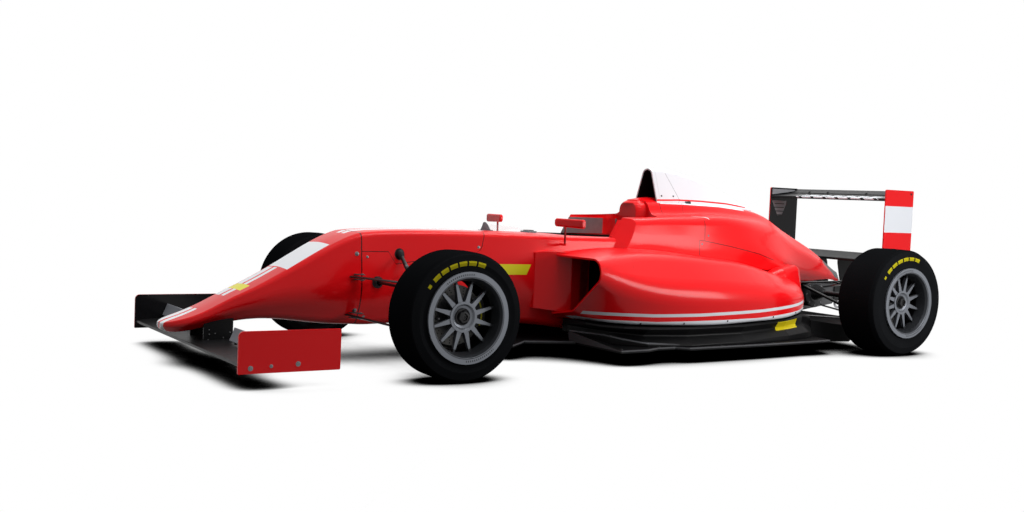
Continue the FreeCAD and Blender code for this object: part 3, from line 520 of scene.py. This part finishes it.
def floor_finish():
    """Bare carbon with a painted highlight along its upper edge, and a plank of skid material along the middle
    underneath.
    """
    finish = carbon("floor_carbon", 0.0045, 0.32, specular=0.07)
    _, y, z = finish.place
    up = finish.facing()[2]
    finish.layer(up.below(-0.7, 0.1) & y.band(-150, 150), (0.16, 0.11, 0.07))
    # painted highlight: the upright faces of the floor's edge above 71 mm painted paler
    finish.layer(z.above(71) & up.band(-0.6, 0.6, 0.1), (0.10, 0.10, 0.105))
    return finish


def padding_finish():
    """Head surround: dark knit over foam, with a red edge."""
    finish = Finish("head_pad_cloth", (0.24, 0.17, 0.172), 0.85, specular=0.15)
    x, _, z = finish.place
    finish.vary(30, 0.2)
    finish.bump(x.wave(4.2) * z.wave(4.2) + finish.noise(600), 0.25, 0.6)
    nx, _, nz = finish.facing()
    finish.layer(nx.above(0.3, 0.1) | nz.above(0.6, 0.1), RED)
    finish.set("Sheen Weight", 0.15)
    finish.set("Sheen Roughness", 0.5)
    return finish


def rear_wing_finish():
    """Dark main plane with a row of plain white blocks along its front."""
    finish = carbon("rear_wing_carbon", 0.010, 0.36)
    x, y, z = finish.place
    front = x.above(-1990) & finish.facing()[0].above(-0.2, 0.1)
    slant = z.math("MULTIPLY_ADD", 1.6, y)
    blocks = z.band(840, 861) & slant.band(1120, 1745) & slant.share(96).band(0.1, 0.84, 0.02)
    finish.layer(front & blocks, (0.70, 0.72, 0.75))
    return finish


def grip_finish():
    """Steering wheel: carbon plate with suede on the two grips."""
    finish = carbon("wheel_carbon", 0.012, 0.42)
    grips = abs(finish.place[1]).above(100)
    finish.layer(grips, (0.02, 0.02, 0.021))
    finish.bump(grips * finish.noise(1500, 4), 0.3, 0.5)
    return finish


def dress_cad():
    """Gives every CAD node its own finish, or that of its slot."""
    by_slot = {
        "carbon_black": carbon("carbon", 0.006, 0.4, specular=0.1),
        "grey_padding": padding_finish(),
        "seat_shell": carbon("seat_carbon", 0.012, 0.5),
        "cast_metal": metal("cast_metal", 0.10, 0.55, 0.8, "cast"),
        "steel": metal("steel", 0.33, 0.35, 0.95, "brushed"),
        "radiator": radiator_finish(),
        "black_grip": grip_finish(),
        "black_tube": carbon("arm_carbon", 0.0055, 0.34, coat=0.15, specular=0.18),
        "grey_wing": paint("grey_paint", (0.36, 0.37, 0.40)),
        "white_bodywork": airbox_finish(),
    }
    by_node = {
        "nose_cone": nose_marks(paint("red_paint_nose", RED)),
        "engine_cover": cover_finish(),
        "mirrors": mirror_finish(),
        "sidepod_sills": sill_finish(),
        "crash_box": crash_box_finish(),
        "floor": floor_finish(),
        "front_wing": carbon("front_wing_carbon", 0.007, 0.4),
        "rear_wing": rear_wing_finish(),
        "rear_lower_wing": carbon("lower_wing_carbon", 0.006, 0.4, specular=0.1),
        "rear_uprights": upright_finish("rear_upright", "rear_left"),
    }
    by_node["monocoque"] = by_node["front_hatch"] = tub_finish()
    by_node["left_sidepod"] = by_node["right_sidepod"] = pod_finish()
    by_node["front_left_upright"] = by_node["front_right_upright"] = upright_finish("front_upright", "front_left")
    for side, sign in (("left", 1), ("right", -1)):
        by_node["front_%s_endplate" % side] = front_plate_finish("red_paint_front_" + side, sign)
        by_node["rear_%s_endplate" % side] = rear_plate_finish("red_paint_rear_" + side, sign)
    for corner in WHEELS:
        by_node[corner + "_tyre"] = tyre_finish(corner + "_rubber", corner)
        by_node[corner + "_rim"] = rim_finish(corner + "_wheel", corner)
        by_node[corner + "_hub"] = hub_finish(corner + "_disc", corner)
    for name, obj in NODES.items():
        finish = by_node.get(name) or by_slot[SLOT_OF[name]]
        obj.data.materials.clear()
        obj.data.materials.append(finish.material)
        for polygon in obj.data.polygons:
            polygon.use_smooth = True


# ---------------- mesh helpers
def add_object(name, data):
    made = bpy.data.objects.new(name, data)
    bpy.context.scene.collection.objects.link(made)
    return made


def around(count, start=0):
    """Angles of count even steps of one turn."""
    return [2 * math.pi * k / count + start for k in range(count)]


def ring(centre, u, v, radius, steps):
    """Points of a circle in the plane of u and v."""
    return [centre + (u * math.cos(t) + v * math.sin(t)) * radius for t in around(steps)]


def smooth_path(points, steps=6):
    """Catmull-Rom curve through points."""
    points = [Vector(point) for point in points]
    padded = [2 * points[0] - points[1]] + points + [2 * points[-1] - points[-2]]
    path = []
    for a, b, c, d in zip(padded, padded[1:], padded[2:], padded[3:]):
        for k in range(steps):
            t = k / steps
            path.append(0.5 * (2 * b + (c - a) * t + (2 * a - 5 * b + 4 * c - d) * t * t
                               + (3 * b - a - 3 * c + d) * t ** 3))
    path.append(points[-1])
    return path


def headings(path):
    """Each point of a path with the direction the path takes there."""
    for i, point in enumerate(path):
        yield point, (path[min(i + 1, len(path) - 1)] - path[max(i - 1, 0)]).normalized()


class Shape:
    """Points and faces of one piece, in millimetres."""

    def __init__(self):
        self.points = []
        self.faces = []

    def skin(self, rows, closed=False, caps=False):
        """Faces between rows of points; every row has the same number."""
        start = len(self.points)
        count = len(rows[0])
        for row in rows:
            self.points.extend(Vector(point) for point in row)
        for i in range(len(rows) - 1):
            for j in range(count if closed else count - 1):
                a = start + i * count + j
                b = start + i * count + (j + 1) % count
                self.faces.append((a, b, b + count, a + count))
        if caps:
            self.faces.append(tuple(start + j for j in reversed(range(count))))
            last = start + (len(rows) - 1) * count
            self.faces.append(tuple(last + j for j in range(count)))

    def lathe(self, place, axis, profile, steps=18):
        """Surface of revolution; profile is (radius, distance along axis)."""
        place, axis = Vector(place), Vector(axis).normalized()
        side = axis.orthogonal().normalized()
        other = axis.cross(side)
        self.skin([ring(place + axis * h, side, other, max(r, 0.001), steps) for r, h in profile], closed=True)

    def rod(self, path, radius, steps):
        """Round bar along a path of points, with flat ends."""
        rows = []
        side = None
        for point, ahead in headings(path):
            side = ahead.orthogonal() if side is None else side - ahead * side.dot(ahead)
            side.normalize()
            rows.append(ring(point, side, ahead.cross(side), radius, steps))
        self.skin(rows, closed=True, caps=True)

    def plate(self, outline, push):
        """Flat outline of points pushed along push."""
        push = Vector(push)
        self.skin([[Vector(p) for p in outline], [Vector(p) + push for p in outline]], closed=True, caps=True)

    def oblong(self, centre, a, b, push):
        """Plate whose outline reaches a and b from its centre."""
        centre, a, b = Vector(centre), Vector(a), Vector(b)
        self.plate([centre - a - b, centre + a - b, centre + a + b, centre - a + b], push)

    def strap(self, path, width, across=(0, 1, 0), thickness=3):
        """Flat webbing along a smooth path."""
        across = Vector(across).normalized() * (width / 2)
        rows = []
        for point, ahead in headings(smooth_path(path)):
            lift = ahead.cross(across).normalized() * (thickness / 2)
            rows.append([point - across - lift, point + across - lift, point + across + lift, point - across + lift])
        self.skin(rows, closed=True, caps=True)

    def bolt(self, place, normal, radius):
        """Domed socket head standing on a surface."""
        height = 0.55 * radius
        self.lathe(place - normal * 0.6, normal, [
            (radius, 0), (radius, 0.55 * height), (0.86 * radius, 0.95 * height), (0.62 * radius, 1.1 * height),
            (0.5 * radius, 1.1 * height), (0.46 * radius, 0.5 * height), (0, 0.5 * height)], 16)

    def washer(self, place, normal, radius):
        self.lathe(place - normal * 0.6, normal, [
            (radius, 0), (radius, 1.3), (0.9 * radius, 1.6), (0.5 * radius, 1.6), (0, 1.6)], 20)

    def make(self, name, finish, body="chassis", bevel=0):
        mesh = bpy.data.meshes.new(name)
        mesh.from_pydata([point * 0.001 for point in self.points], [], self.faces)
        bm = bmesh.new()
        bm.from_mesh(mesh)
        bmesh.ops.remove_doubles(bm, verts=bm.verts, dist=5e-6)
        bmesh.ops.recalc_face_normals(bm, faces=bm.faces)
        if bevel:
            sharp = [edge for edge in bm.edges if edge.is_manifold and edge.calc_face_angle() > math.radians(35)]
            bmesh.ops.bevel(bm, geom=sharp, offset=bevel * 0.001, segments=2, affect="EDGES", profile=0.6)
        for face in bm.faces:
            face.smooth = True
        for edge in bm.edges:
            edge.smooth = not (edge.is_manifold and edge.calc_face_angle() > math.radians(38))
        bm.to_mesh(mesh)
        bm.free()
        mesh.materials.append(finish.material)
        piece = add_object(name, mesh)
        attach(piece, body)


TREES = {}


def surface(node, start, aim):
    """Where a line from start along aim first meets a CAD node, and the surface's direction there."""
    if node not in TREES:
        mesh = NODES[node].data
        TREES[node] = BVHTree.FromPolygons([v.co for v in mesh.vertices], [p.vertices for p in mesh.polygons])
    place, normal, _, _ = TREES[node].ray_cast(Vector(start) * 0.001, Vector(aim).normalized())
    if place is None:
        raise ValueError("no surface of %s on the line from %s" % (node, tuple(start)))
    if normal.dot(Vector(aim)) > 0:
        normal = -normal
    return place * 1000, normal


def beside(node, x, z, side):
    return surface(node, (x, side * 1200, z), (0, -side, 0))


def over(node, x, y):
    return surface(node, (x, y, 1400), (0, 0, -1))


# ---------------- fittings
def fasteners():
    """Quarter-turn studs, rivets and bolts of the bodywork, on both sides of the car."""
    bright = Shape()
    dark = Shape()
    for side, hand in zip(SIDES, ("left", "right")):
        for node, x, z, radius in (
                ("nose_cone", 1324, 483, 8), ("monocoque", 1274, 470, 5), ("nose_cone", 1321, 230, 8),
                ("front_hatch", 716, 522, 5.5), ("monocoque", 660, 240, 5), ("monocoque", 1270, 199, 5),
                ("engine_cover", -635, 606, 4.5), ("engine_cover", -589, 561, 4.5)):
            place, normal = beside(node, x, z, side)
            bright.washer(place, normal, radius * 1.25)
            bright.bolt(place + normal * 1.4, normal, radius * 0.8)
        for node, radius, places in (
                ("airbox_cover", 5, ((-490, 806), (-574, 807))),
                (hand + "_sidepod", 5, ((249, 192), (30, 188), (-200, 188), (-471, 196), (-818, 206), (-1060, 216))),
                ("rear_%s_endplate" % hand, 6, ((-2088, 882), (-1900, 500), (-1970, 512)))):
            for x, z in places:
                dark.bolt(*beside(node, x, z, side), radius)
        for x, z, radius in ((2008, 87, 10), (1927, 92, 7), (1820, 96, 10)):
            place, normal = beside("front_%s_endplate" % hand, x, z, side)
            bright.washer(place, normal, radius)
            bright.bolt(place + normal * 1.2, normal, radius * 0.7)
        for x, z in ((1961, 153), (1961, 134), (1936, 137), (1871, 141), (1965, 110), (1900, 118)):
            bright.bolt(*surface("front_wing_pylons", (x, side * 300, z), (0, -side, 0)), 3.4)
        for x, y in ((190, 650), (-60, 622), (-420, 674), (-780, 668), (-1140, 646)):
            dark.bolt(*over("floor", x, side * y), 6)
        for x, y in ((-1905, 300), (-1990, 300), (-1905, 150), (-1990, 150)):
            bright.bolt(*over("rear_lower_wing", x, side * y), 4.5)
    bright.make("bright_fasteners", metal("fastener_steel", 0.15, 0.34, 0.9))
    dark.make("dark_fasteners", metal("fastener_black", 0.02, 0.42, 0.6))


def windscreen():
    """Low clear screen that wraps the front of the cockpit, standing on the tub."""
    front, tub_edge = 548, 196
    shape = Shape()
    rows = []
    for x, rise in ((front, 8), (520, 30), (470, 29), (420, 22), (360, 10)):
        half = 60 + (front - x) * 0.62
        row = []
        for k in range(-6, 7):
            y = half * k / 6
            place, _ = over("monocoque", x, max(min(y, tub_edge), -tub_edge))
            arch = 1 - (y / half) ** 4
            row.append((x - 0.10 * abs(y), y, place.z + 1.5 + rise * arch))
        rows.append(row)
    shape.skin(rows)
    finish = Finish("clear_screen", (0.80, 0.88, 0.92), 0.05, specular=0.2)
    finish.set("Alpha", 0.10)
    finish.uneven(8, 0.03, 0.1)
    shape.make("windscreen", finish)


def top_fittings():
    """Small fin ahead of the screen, the block on the cockpit's front edge, and the cover's latches."""
    fin = Shape()
    base = over("monocoque", 558, 0)[0].z - 1
    outline = [(590, 0), (528, 0), (534, 8), (548, 30), (558, 40), (566, 43), (573, 40), (580, 20)]
    fin.plate([(x, -3.2, base + z) for x, z in outline], (0, 6.4, 0))
    fin.oblong((559, 0, base - 1), (-37, 0, 0), (0, 11, 0), (0, 0, 5))
    grey = moulded("fin_plastic", (0.085, 0.09, 0.10), 0.5, 900, 0.1, 0.4, specular=0.3)
    grey.vary(60, 0.15)
    fin.make("top_fin", grey, bevel=1.2)

    block = Shape()
    base = over("monocoque", 300, 0)[0].z
    block.oblong((303, 0, base - 1), (-27, 0, 0), (0, 34, 0), (0, 0, 9))
    block.oblong((304, 0, base + 7), (-18, 0, 0), (0, 22, 0), (0, 0, 6))
    for y in (-28, 28):
        block.bolt(Vector((303, y, base + 8)), UP, 4)
    dark = moulded("block_plastic", (0.02, 0.022, 0.024), 0.45, 700, 0.15, 0.4, specular=0.3)
    block.make("cockpit_block", dark, bevel=1.6)

    latch = Shape()
    for side in SIDES:
        place, normal = beside("airbox_cover", -671, 785, side)
        up = normal.cross(AHEAD).normalized() * side
        centre = place - UP * 8
        for length, width, deep, lift in ((28, 7, 3, -0.5), (16, 4, 2.5, 2.5)):
            latch.oblong(centre + normal * lift, AHEAD * length, up * width, normal * deep)
        for end in SIDES:
            latch.bolt(centre + AHEAD * end * 21 + normal * 2.4, normal, 3.4)
    latch.make("cover_latches", dark, bevel=0.8)


def mirror_glass():
    """Convex glass in a black bezel on the rear face of each mirror."""
    glass = Shape()
    bezel = Shape()
    for side in SIDES:
        along = Vector((-33.5, side * 179, 0)).normalized()
        out = along.cross(UP) * side
        if out.x > 0:
            out = -out
        face, _ = surface("mirrors", Vector((281, side * 341.5, 650)) + out * 60, -out)

        def outline(width, height, lift):
            """Rounded rectangle on the mirror's face."""
            points = []
            for t in around(40):
                u, v = (math.copysign(abs(part) ** 0.35, part) for part in (math.cos(t), math.sin(t)))
                points.append(face + along * u * width + UP * v * height + out * lift)
            return points

        glass.skin([outline(80 * share, 13 * share, 1.6 + 1.2 * (1 - share ** 2))
                    for share in (0.02, 0.3, 0.6, 0.85, 1)], closed=True)
        bezel.skin([outline(80 * grow, 13 + (grow - 1) * 60, lift)
                    for grow, lift in ((1, 1.4), (1, 3), (1.035, 3), (1.05, 0))], closed=True)
    finish = Finish("mirror_glass", (0.75, 0.78, 0.80), 0.04, 1)
    finish.uneven(20, 0.02, 0.07)
    glass.make("mirror_glass", finish)
    bezel.make("mirror_bezels", moulded("bezel_rubber", (0.012, 0.012, 0.013), 0.6, 800, 0.1, 0.3))


def suspension_fittings():
    """Clevises on the tub, the pushrods' gaiters and nuts, and the boots of the track rods."""
    silver = Shape()
    dark = Shape()
    for side in SIDES:
        out = Vector((-0.36, side, 0)).normalized()
        for x, y, z in ((1335, 150, 382), (1335, 146, 209)):
            foot = Vector((x, side * y, z))
            for up in SIDES:
                tab = [foot + Vector((step, 0, up * 9)) + out * reach
                       for step, reach in ((13, 0), (-13, 0), (-8, 66), (8, 66))]
                silver.plate(tab, (0, 0, up * 4))
            for up in SIDES:
                silver.bolt(foot + out * 56 + UP * up * 12, UP * up, 8)
        start = Vector((1145, side * 600, 166))
        end = Vector((1112, side * 150, 501))
        aim = (start - end).normalized()
        dark.lathe(end + aim * 38, aim, [(17, -22), (16, -6), (13.5, -3), (14.5, 1), (12, 4), (13, 8), (11, 11),
                                           (9.6, 12), (9.6, 10)], 22)
        dark.lathe((1225, side * 174, 357), (0, side, 0), [(27, -4), (27, 4), (22, 6), (21, 16), (18.5, 20),
                                                                 (15, 20), (15, 4), (15, -4)], 22)
        silver.lathe(start - aim * 30, aim, [(9.2, 0), (12, 0), (12, 16), (9.2, 16)], 6)
        silver.lathe(end + aim * 110, aim, [(9.2, 0), (12, 0), (12, 14), (9.2, 14)], 6)
    silver.make("arm_clevises", metal("clevis_metal", 0.07, 0.4, 0.9, "brushed"), bevel=0.8)
    dark.make("rod_gaiters", moulded("gaiter_rubber", (0.010, 0.010, 0.011), 0.6, 500, 0.15, 0.4))


def wheel_fittings():
    """Centre nut and valve of each wheel, shields behind the front discs, boots on the rear shafts."""
    nut_finish = metal("nut_black", 0.018, 0.38, 0.7)
    valve_finish = metal("valve_metal", 0.05, 0.4, 0.9)
    boot_finish = moulded("boot_rubber", (0.010, 0.010, 0.011), 0.55, 300, 0.2, 0.4)
    for corner, (cx, cz, cy, _, width) in WHEELS.items():
        side = math.copysign(1, cy)
        face = cy + side * (width / 2 + RIM_PROUD)
        dish = face - side * DISH
        axis = LEFT * side
        nut = Shape()
        foot = Vector((cx, dish + side * 4.4, cz))
        nut.lathe(foot, axis, [(31, 0), (31, 3), (28, 5)], 24)
        nut.lathe(foot, axis, [(28, 5), (26.5, 16), (24.5, 19), (17, 20), (15.5, 17.2), (22.2, 16.4)], 6)
        nut.lathe(foot + axis * 11.4, axis, [(15, 0), (15, 2.5), (9, 4), (7, 4), (6, 1.2), (0, 1.2)], 24)
        for t in around(3, 0.4):
            pin = foot + axis * 12.7 + (AHEAD * math.cos(t) + UP * math.sin(t)) * 11.5
            nut.lathe(pin, axis, [(1.6, 0), (1.6, 2.4), (0, 2.8)], 10)
        nut.make(corner + "_wheel_nut", nut_finish, corner + "_wheel")
        valve = Shape()
        valve.lathe((cx + 148, face - side * 40, cz), axis * 0.9 - AHEAD * 0.45,
                    [(5.5, -4), (5.5, 2), (3.4, 4), (3.4, 20), (4.4, 21), (4.4, 31), (3.2, 33), (0, 33)], 14)
        valve.make(corner + "_valve", valve_finish, corner + "_wheel")
        if corner.startswith("front"):
            # the shield leaves the calliper's side of the disc open
            arc = [math.radians(202 + 6.5 * k) for k in range(15)]
            rim = [Vector((cx + r * math.cos(t), dish - side * 86, cz + r * math.sin(t)))
                   for r, sweep in ((137, arc), (92, arc[::-1])) for t in sweep]
            shield = Shape()
            shield.plate(rim, axis * 2.5)
            shield.make(corner + "_dust_shield", carbon("shield_carbon", 0.006, 0.5), corner + "_knuckle",
                        bevel=0.6)
        else:
            folds = []
            for k in range(7):
                folds += [(46 - 3.6 * k, 9.6 * k), (40 - 3.6 * k, 9.6 * k + 4.8)]
            end = [(15.6, 70), (15.2, 70)]
            boot = Shape()
            boot.lathe((cx, side * 205, cz), axis, [(15.2, -9), (46, -9)] + folds + end, 28)
            folds = [(max(15.6, r - 4), h) for r, h in folds]
            boot.lathe((cx, dish - side * 98, cz), -axis, [(15.2, 0), (41, 0)] + folds + end, 28)
            boot.make(corner + "_shaft_boots", boot_finish, corner + "_wheel")


def cockpit_fittings():
    """Display, buttons and dials on the steering wheel, its shift paddles, and the harness."""
    out = Vector((-0.93, 0, 0.37)).normalized()
    up = out.cross(LEFT).normalized()
    if up.z < 0:
        up = -up
    # the wheel's middle is open, so its face is found a little higher up
    face, _ = surface("steering_wheel", Vector((118, 0, 492)) + out * 200 + up * 30, -out)
    face = face - up * 30

    def spot(across, high, proud=-0.5):
        """A point of the steering wheel's face, proud millimetres out of it."""
        return face + LEFT * across + up * high + out * proud

    screen = Shape()
    screen.oblong(spot(0, 35, 0), LEFT * 40, up * 17, out * 2.5)
    lens = Finish("display_glass", (0.012, 0.014, 0.018), 0.12, specular=0.5)
    y = lens.place[1]
    lens.layer((y.share(9).band(0.15, 0.8, 0.1) & y.band(-36, 36)) * 0.5, (0.05, 0.07, 0.08))
    screen.make("wheel_display", lens, "steering_column", bevel=1.2)

    keys = Shape()
    for across, high in ((-84, 36), (84, 36), (-52, 6), (52, 6), (-52, -14), (52, -14)):
        keys.lathe(spot(across, high), out,
                   [(9, 0), (9, 2), (8, 2.6), (6.6, 2.6), (6.4, 5), (5.4, 6.2), (0, 6.6)], 20)
    for across in (-24, 0, 24):
        keys.lathe(spot(across, -8), out, [(10.5, 0), (10.5, 2), (8.5, 2.2), (8.2, 9), (7.2, 10.5), (0, 10.5)], 12)
        keys.oblong(spot(across, -3.5, 9.8), LEFT * 1.2, up * 4.5, out * 1.6)
    keys.make("wheel_buttons", moulded("button_plastic", (0.02, 0.02, 0.022), 0.45, 900, 0.1, 0.3, specular=0.3),
              "steering_column")
    lit = Shape()
    for across, high in ((-84, 12), (84, 12), (-30, -34), (30, -34)):
        lit.lathe(spot(across, high), out, [(7, 0), (7, 3), (6, 5.4), (4, 6.2), (0, 6.4)], 20)
    caps = Finish("button_caps", (0.45, 0.02, 0.02), 0.35, specular=0.4)
    caps.layer(caps.place[1].above(0), (0.02, 0.22, 0.06))
    lit.make("wheel_button_caps", caps, "steering_column")
    paddles = Shape()
    for hand in SIDES:
        outline = [(58, 30), (104, 26), (118, 10), (116, -16), (96, -22), (60, 4)]
        paddles.plate([spot(hand * a, b, -36) for a, b in outline], out * 3)
    paddles.make("shift_paddles", carbon("paddle_carbon", 0.012, 0.35), "steering_column", bevel=0.8)

    belt = Shape()
    for hand in SIDES:
        shoulder = ((-318, 74, 516), (-296, 72, 512), (-270, 66, 486), (-200, 56, 370), (-130, 44, 256),
                    (-84, 30, 200), (-40, 16, 184))
        lap = ((-66, 154, 236), (-60, 130, 196), (-46, 80, 183), (-30, 26, 184))
        belt.strap([(x, hand * y, z) for x, y, z in shoulder], 44)
        belt.strap([(x, hand * y, z) for x, y, z in lap], 42, (1, 0, 0.15))
    belt.strap([(96, 0, 181), (60, 0, 180), (20, 0, 181), (-16, 0, 185)], 40)
    webbing = Finish("harness_webbing", (0.55, 0.012, 0.016), 0.75, specular=0.2)
    x, y, z = webbing.place
    webbing.vary(60, 0.15)
    webbing.bump(y.wave(3.4) * (x + z).wave(3.4), 0.3, 0.6)
    belt.make("harness_straps", webbing)

    buckles = Shape()
    buckles.lathe((-26, 0, 183), (-0.1, 0, 1),
                  [(30, 0), (31, 4), (30, 10), (24, 13), (10, 14), (9, 18), (0, 18.5)], 28)
    for hand in SIDES:
        for x, y, z, aim, run in ((-160, 50, 308, (0.83, 0, 0.5), Vector((-0.5, 0, 0.83))),
                                  (-55, 110, 190, (0, 0, 1), Vector((0, 1, 0.1)).normalized())):
            aim = Vector(aim)
            wide = aim.cross(run).normalized()
            buckles.oblong(Vector((x, hand * y, z)) + aim * 2, wide * 27, run * 12, aim * 3)
    buckles.make("harness_buckles", metal("buckle_steel", 0.25, 0.35, 0.9, "brushed"), bevel=1)


def wing_fittings():
    """Brackets under the front flaps, and the rear wing's links."""
    shape = Shape()
    bracket = ((1926, 116), (1890, 118), (1893, 160), (1906, 148))
    link = ((-2040, 868), (-2066, 868), (-2070, 884), (-2056, 884))
    for side in SIDES:
        for outline, places in ((bracket, (300, 470, 640)), (link, (150, 300))):
            for y in places:
                shape.plate([(x, side * y - 2, z) for x, z in outline], (0, 4, 0))
    shape.make("wing_brackets", carbon("bracket_carbon", 0.01, 0.4), bevel=0.6)


def gearbox_fittings():
    """Ribs and bolts of the gearbox, final drive covers, and the dampers with springs and rockers."""
    cast = Shape()
    steel = Shape()
    spring = Shape()
    front, rear = -961, -1900
    for x in (-1050, -1160, -1270, -1380):
        # the casing narrows from front to rear
        share = (x - front) / (rear - front)
        half = 150 - 72 * share
        low = 96 + 104 * share
        high = 380 - 50 * share
        for side in SIDES:
            cast.plate([(x + step, side * (half + reach), low + lift)
                        for step, reach, lift in ((-4, -1, 24), (4, -1, 24), (4, 9, 34), (-4, 9, 34))],
                       (0, 0, high - low - 60))
            for z in (low + 50, 0.5 * (low + high), high - 50):
                steel.bolt(Vector((x + 26, side * (half - 4), z)), LEFT * side, 6)
    for side in SIDES:
        axis = LEFT * side
        cover = Vector((-1605, side * 188, 274.5))
        cast.lathe(cover, axis, [(74, 0), (78, 2), (78, 8), (66, 11), (50, 12), (46, 15), (24, 15)], 36)
        for place in ring(cover + axis * 10, AHEAD, UP, 66, 8):
            steel.bolt(place, axis, 5)
        foot = Vector((-1492, side * 62, 404))
        aim = (Vector((-1268, side * 66, 436)) - foot).normalized()
        cast.lathe(foot, aim, [(0, 0), (15, 0), (15, 8), (22, 10), (22, 100), (19, 102), (0, 102)], 22)
        steel.lathe(foot + aim * 100, aim, [(7, 0), (7, 122), (14, 124), (14, 132), (0, 132)], 16)
        u = aim.orthogonal().normalized()
        v = aim.cross(u)
        turns, steps = 6, 20
        coil = []
        for k in range(turns * steps + 1):
            t = 2 * math.pi * k / steps
            coil.append(foot + aim * (34 + 168 * k / (turns * steps)) + (u * math.cos(t) + v * math.sin(t)) * 28)
        spring.rod(coil, 4, 8)
        cast.plate([(x, side * y, z) for x, y, z in (
            (-1486, 40, 384), (-1530, 52, 372), (-1520, 86, 372), (-1480, 78, 392))], (0, 0, 10))
    cast.make("gearbox_ribs", metal("casting", 0.09, 0.55, 0.8, "cast"), bevel=1)
    steel.make("gearbox_bolts", metal("bolt_steel", 0.28, 0.35, 0.9))
    finish = Finish("spring_paint", (0.03, 0.03, 0.032), 0.4, coat=0.2, specular=0.3)
    finish.vary(80, 0.2)
    spring.make("damper_springs", finish)


# ---------------- stage, light and camera
def seen_white(tree):
    """1 for the rays that show the background: camera, mirror and glass rays."""
    path = add_node(tree, "LightPath", {}).outputs
    mirror = add_node(tree, "Math", {0: path["Is Camera Ray"], 1: path["Is Glossy Ray"]}, operation="MAXIMUM")
    return add_node(tree, "Math", {0: mirror.outputs[0], 1: path["Is Transmission Ray"]},
                    operation="MAXIMUM").outputs[0]


def make_stage():
    """Floor that is white in the open and black where the car shuts the light out."""
    mesh = bpy.data.meshes.new("floor_sheet")
    size = 60
    mesh.from_pydata([(-size, -size, 0), (size, -size, 0), (size, size, 0), (-size, size, 0)], [], [(0, 1, 2, 3)])
    material = bpy.data.materials.new("pale_floor")
    material.use_nodes = True
    tree = material.node_tree
    tree.nodes.remove(tree.nodes["Principled BSDF"])
    shade = add_node(tree, "AmbientOcclusion", {"Distance": 0.40}, samples=40)
    ease = add_node(tree, "MapRange", {"Value": shade.outputs["AO"], "From Min": 0.36, "From Max": 0.78},
                    interpolation_type="SMOOTHSTEP")
    glow = add_node(tree, "Emission", {"Strength": ease.outputs[0]})
    lit = add_node(tree, "BsdfDiffuse", {"Color": (0.06, 0.06, 0.06)})
    mix = add_node(tree, "MixShader", {0: seen_white(tree), 1: lit.outputs[0], 2: glow.outputs[0]})
    put(tree, tree.nodes["Material Output"].inputs["Surface"], mix.outputs[0])
    mesh.materials.append(material)
    add_object("floor_sheet", mesh)


# lamp: name, place, what it points at, length and width, watts
LAMPS = (
    ("overhead", (-0.4, 0.4, 4.8), (-0.4, 0, 0.3), (6, 3), 60),
    ("strip", (-1.2, 0.3, 4), (-0.8, 0, 0.3), (7, 1.3), 150),
    ("left_side", (-1.9, 2.9, 1), (-0.9, 0.5, 0.3), (1.4, 1), 52),
)


def make_light():
    """Even sky that is brighter overhead, two lamps above and a smaller one to the left."""
    world = bpy.data.worlds.new("studio")
    bpy.context.scene.world = world
    world.use_nodes = True
    tree = world.node_tree
    coords = add_node(tree, "TexCoord", {})
    height = add_node(tree, "SeparateXYZ", {0: coords.outputs["Generated"]})
    ramp = add_node(tree, "ValToRGB", {0: height.outputs["Z"]})
    low, high = ramp.color_ramp.elements
    low.position, low.color = 0, (0.07, 0.07, 0.075, 1)
    high.position, high.color = 0.9, (0.62, 0.63, 0.65, 1)
    mix = add_node(tree, "Mix", {}, data_type="RGBA")
    for key, value in (("Factor", seen_white(tree)), (6, ramp.outputs[0]), (7, (1, 1, 1))):
        put(tree, mix.inputs[key], value)
    put(tree, tree.nodes["Background"].inputs["Color"], mix.outputs[2])
    for name, place, aim, (length, width), power in LAMPS:
        data = bpy.data.lights.new(name, "AREA")
        data.shape = "RECTANGLE"
        data.size = length
        data.size_y = width
        data.energy = power
        lamp = add_object(name, data)
        lamp.location = place
        lamp.rotation_euler = (Vector(aim) - Vector(place)).to_track_quat("-Z", "Y").to_euler()


CAMERA_PLACE = Vector((3.479, 4.7095, 0.761))
CAMERA_YAW = math.radians(-123.206)
CAMERA_PITCH = math.radians(-2.961)
CAMERA_ROLL = math.radians(2.459)
CAMERA_LENS = 39.48


def make_camera():
    ahead = Vector((math.cos(CAMERA_YAW) * math.cos(CAMERA_PITCH),
                    math.sin(CAMERA_YAW) * math.cos(CAMERA_PITCH), math.sin(CAMERA_PITCH)))
    level = ahead.cross(UP).normalized()
    upright = level.cross(ahead)
    right = math.cos(CAMERA_ROLL) * level + math.sin(CAMERA_ROLL) * upright
    up = -math.sin(CAMERA_ROLL) * level + math.cos(CAMERA_ROLL) * upright
    data = bpy.data.cameras.new("camera")
    data.sensor_width = 36
    data.lens = CAMERA_LENS
    camera = add_object("camera", data)
    turn = Matrix((right, up, -ahead)).transposed().to_4x4()
    camera.matrix_world = Matrix.Translation(CAMERA_PLACE) @ turn
    bpy.context.scene.camera = camera


dress_cad()
fasteners()
windscreen()
top_fittings()
mirror_glass()
suspension_fittings()
wheel_fittings()
cockpit_fittings()
wing_fittings()
gearbox_fittings()
make_stage()
make_light()
make_camera()
bpy.context.scene.view_settings.view_transform = "Standard"
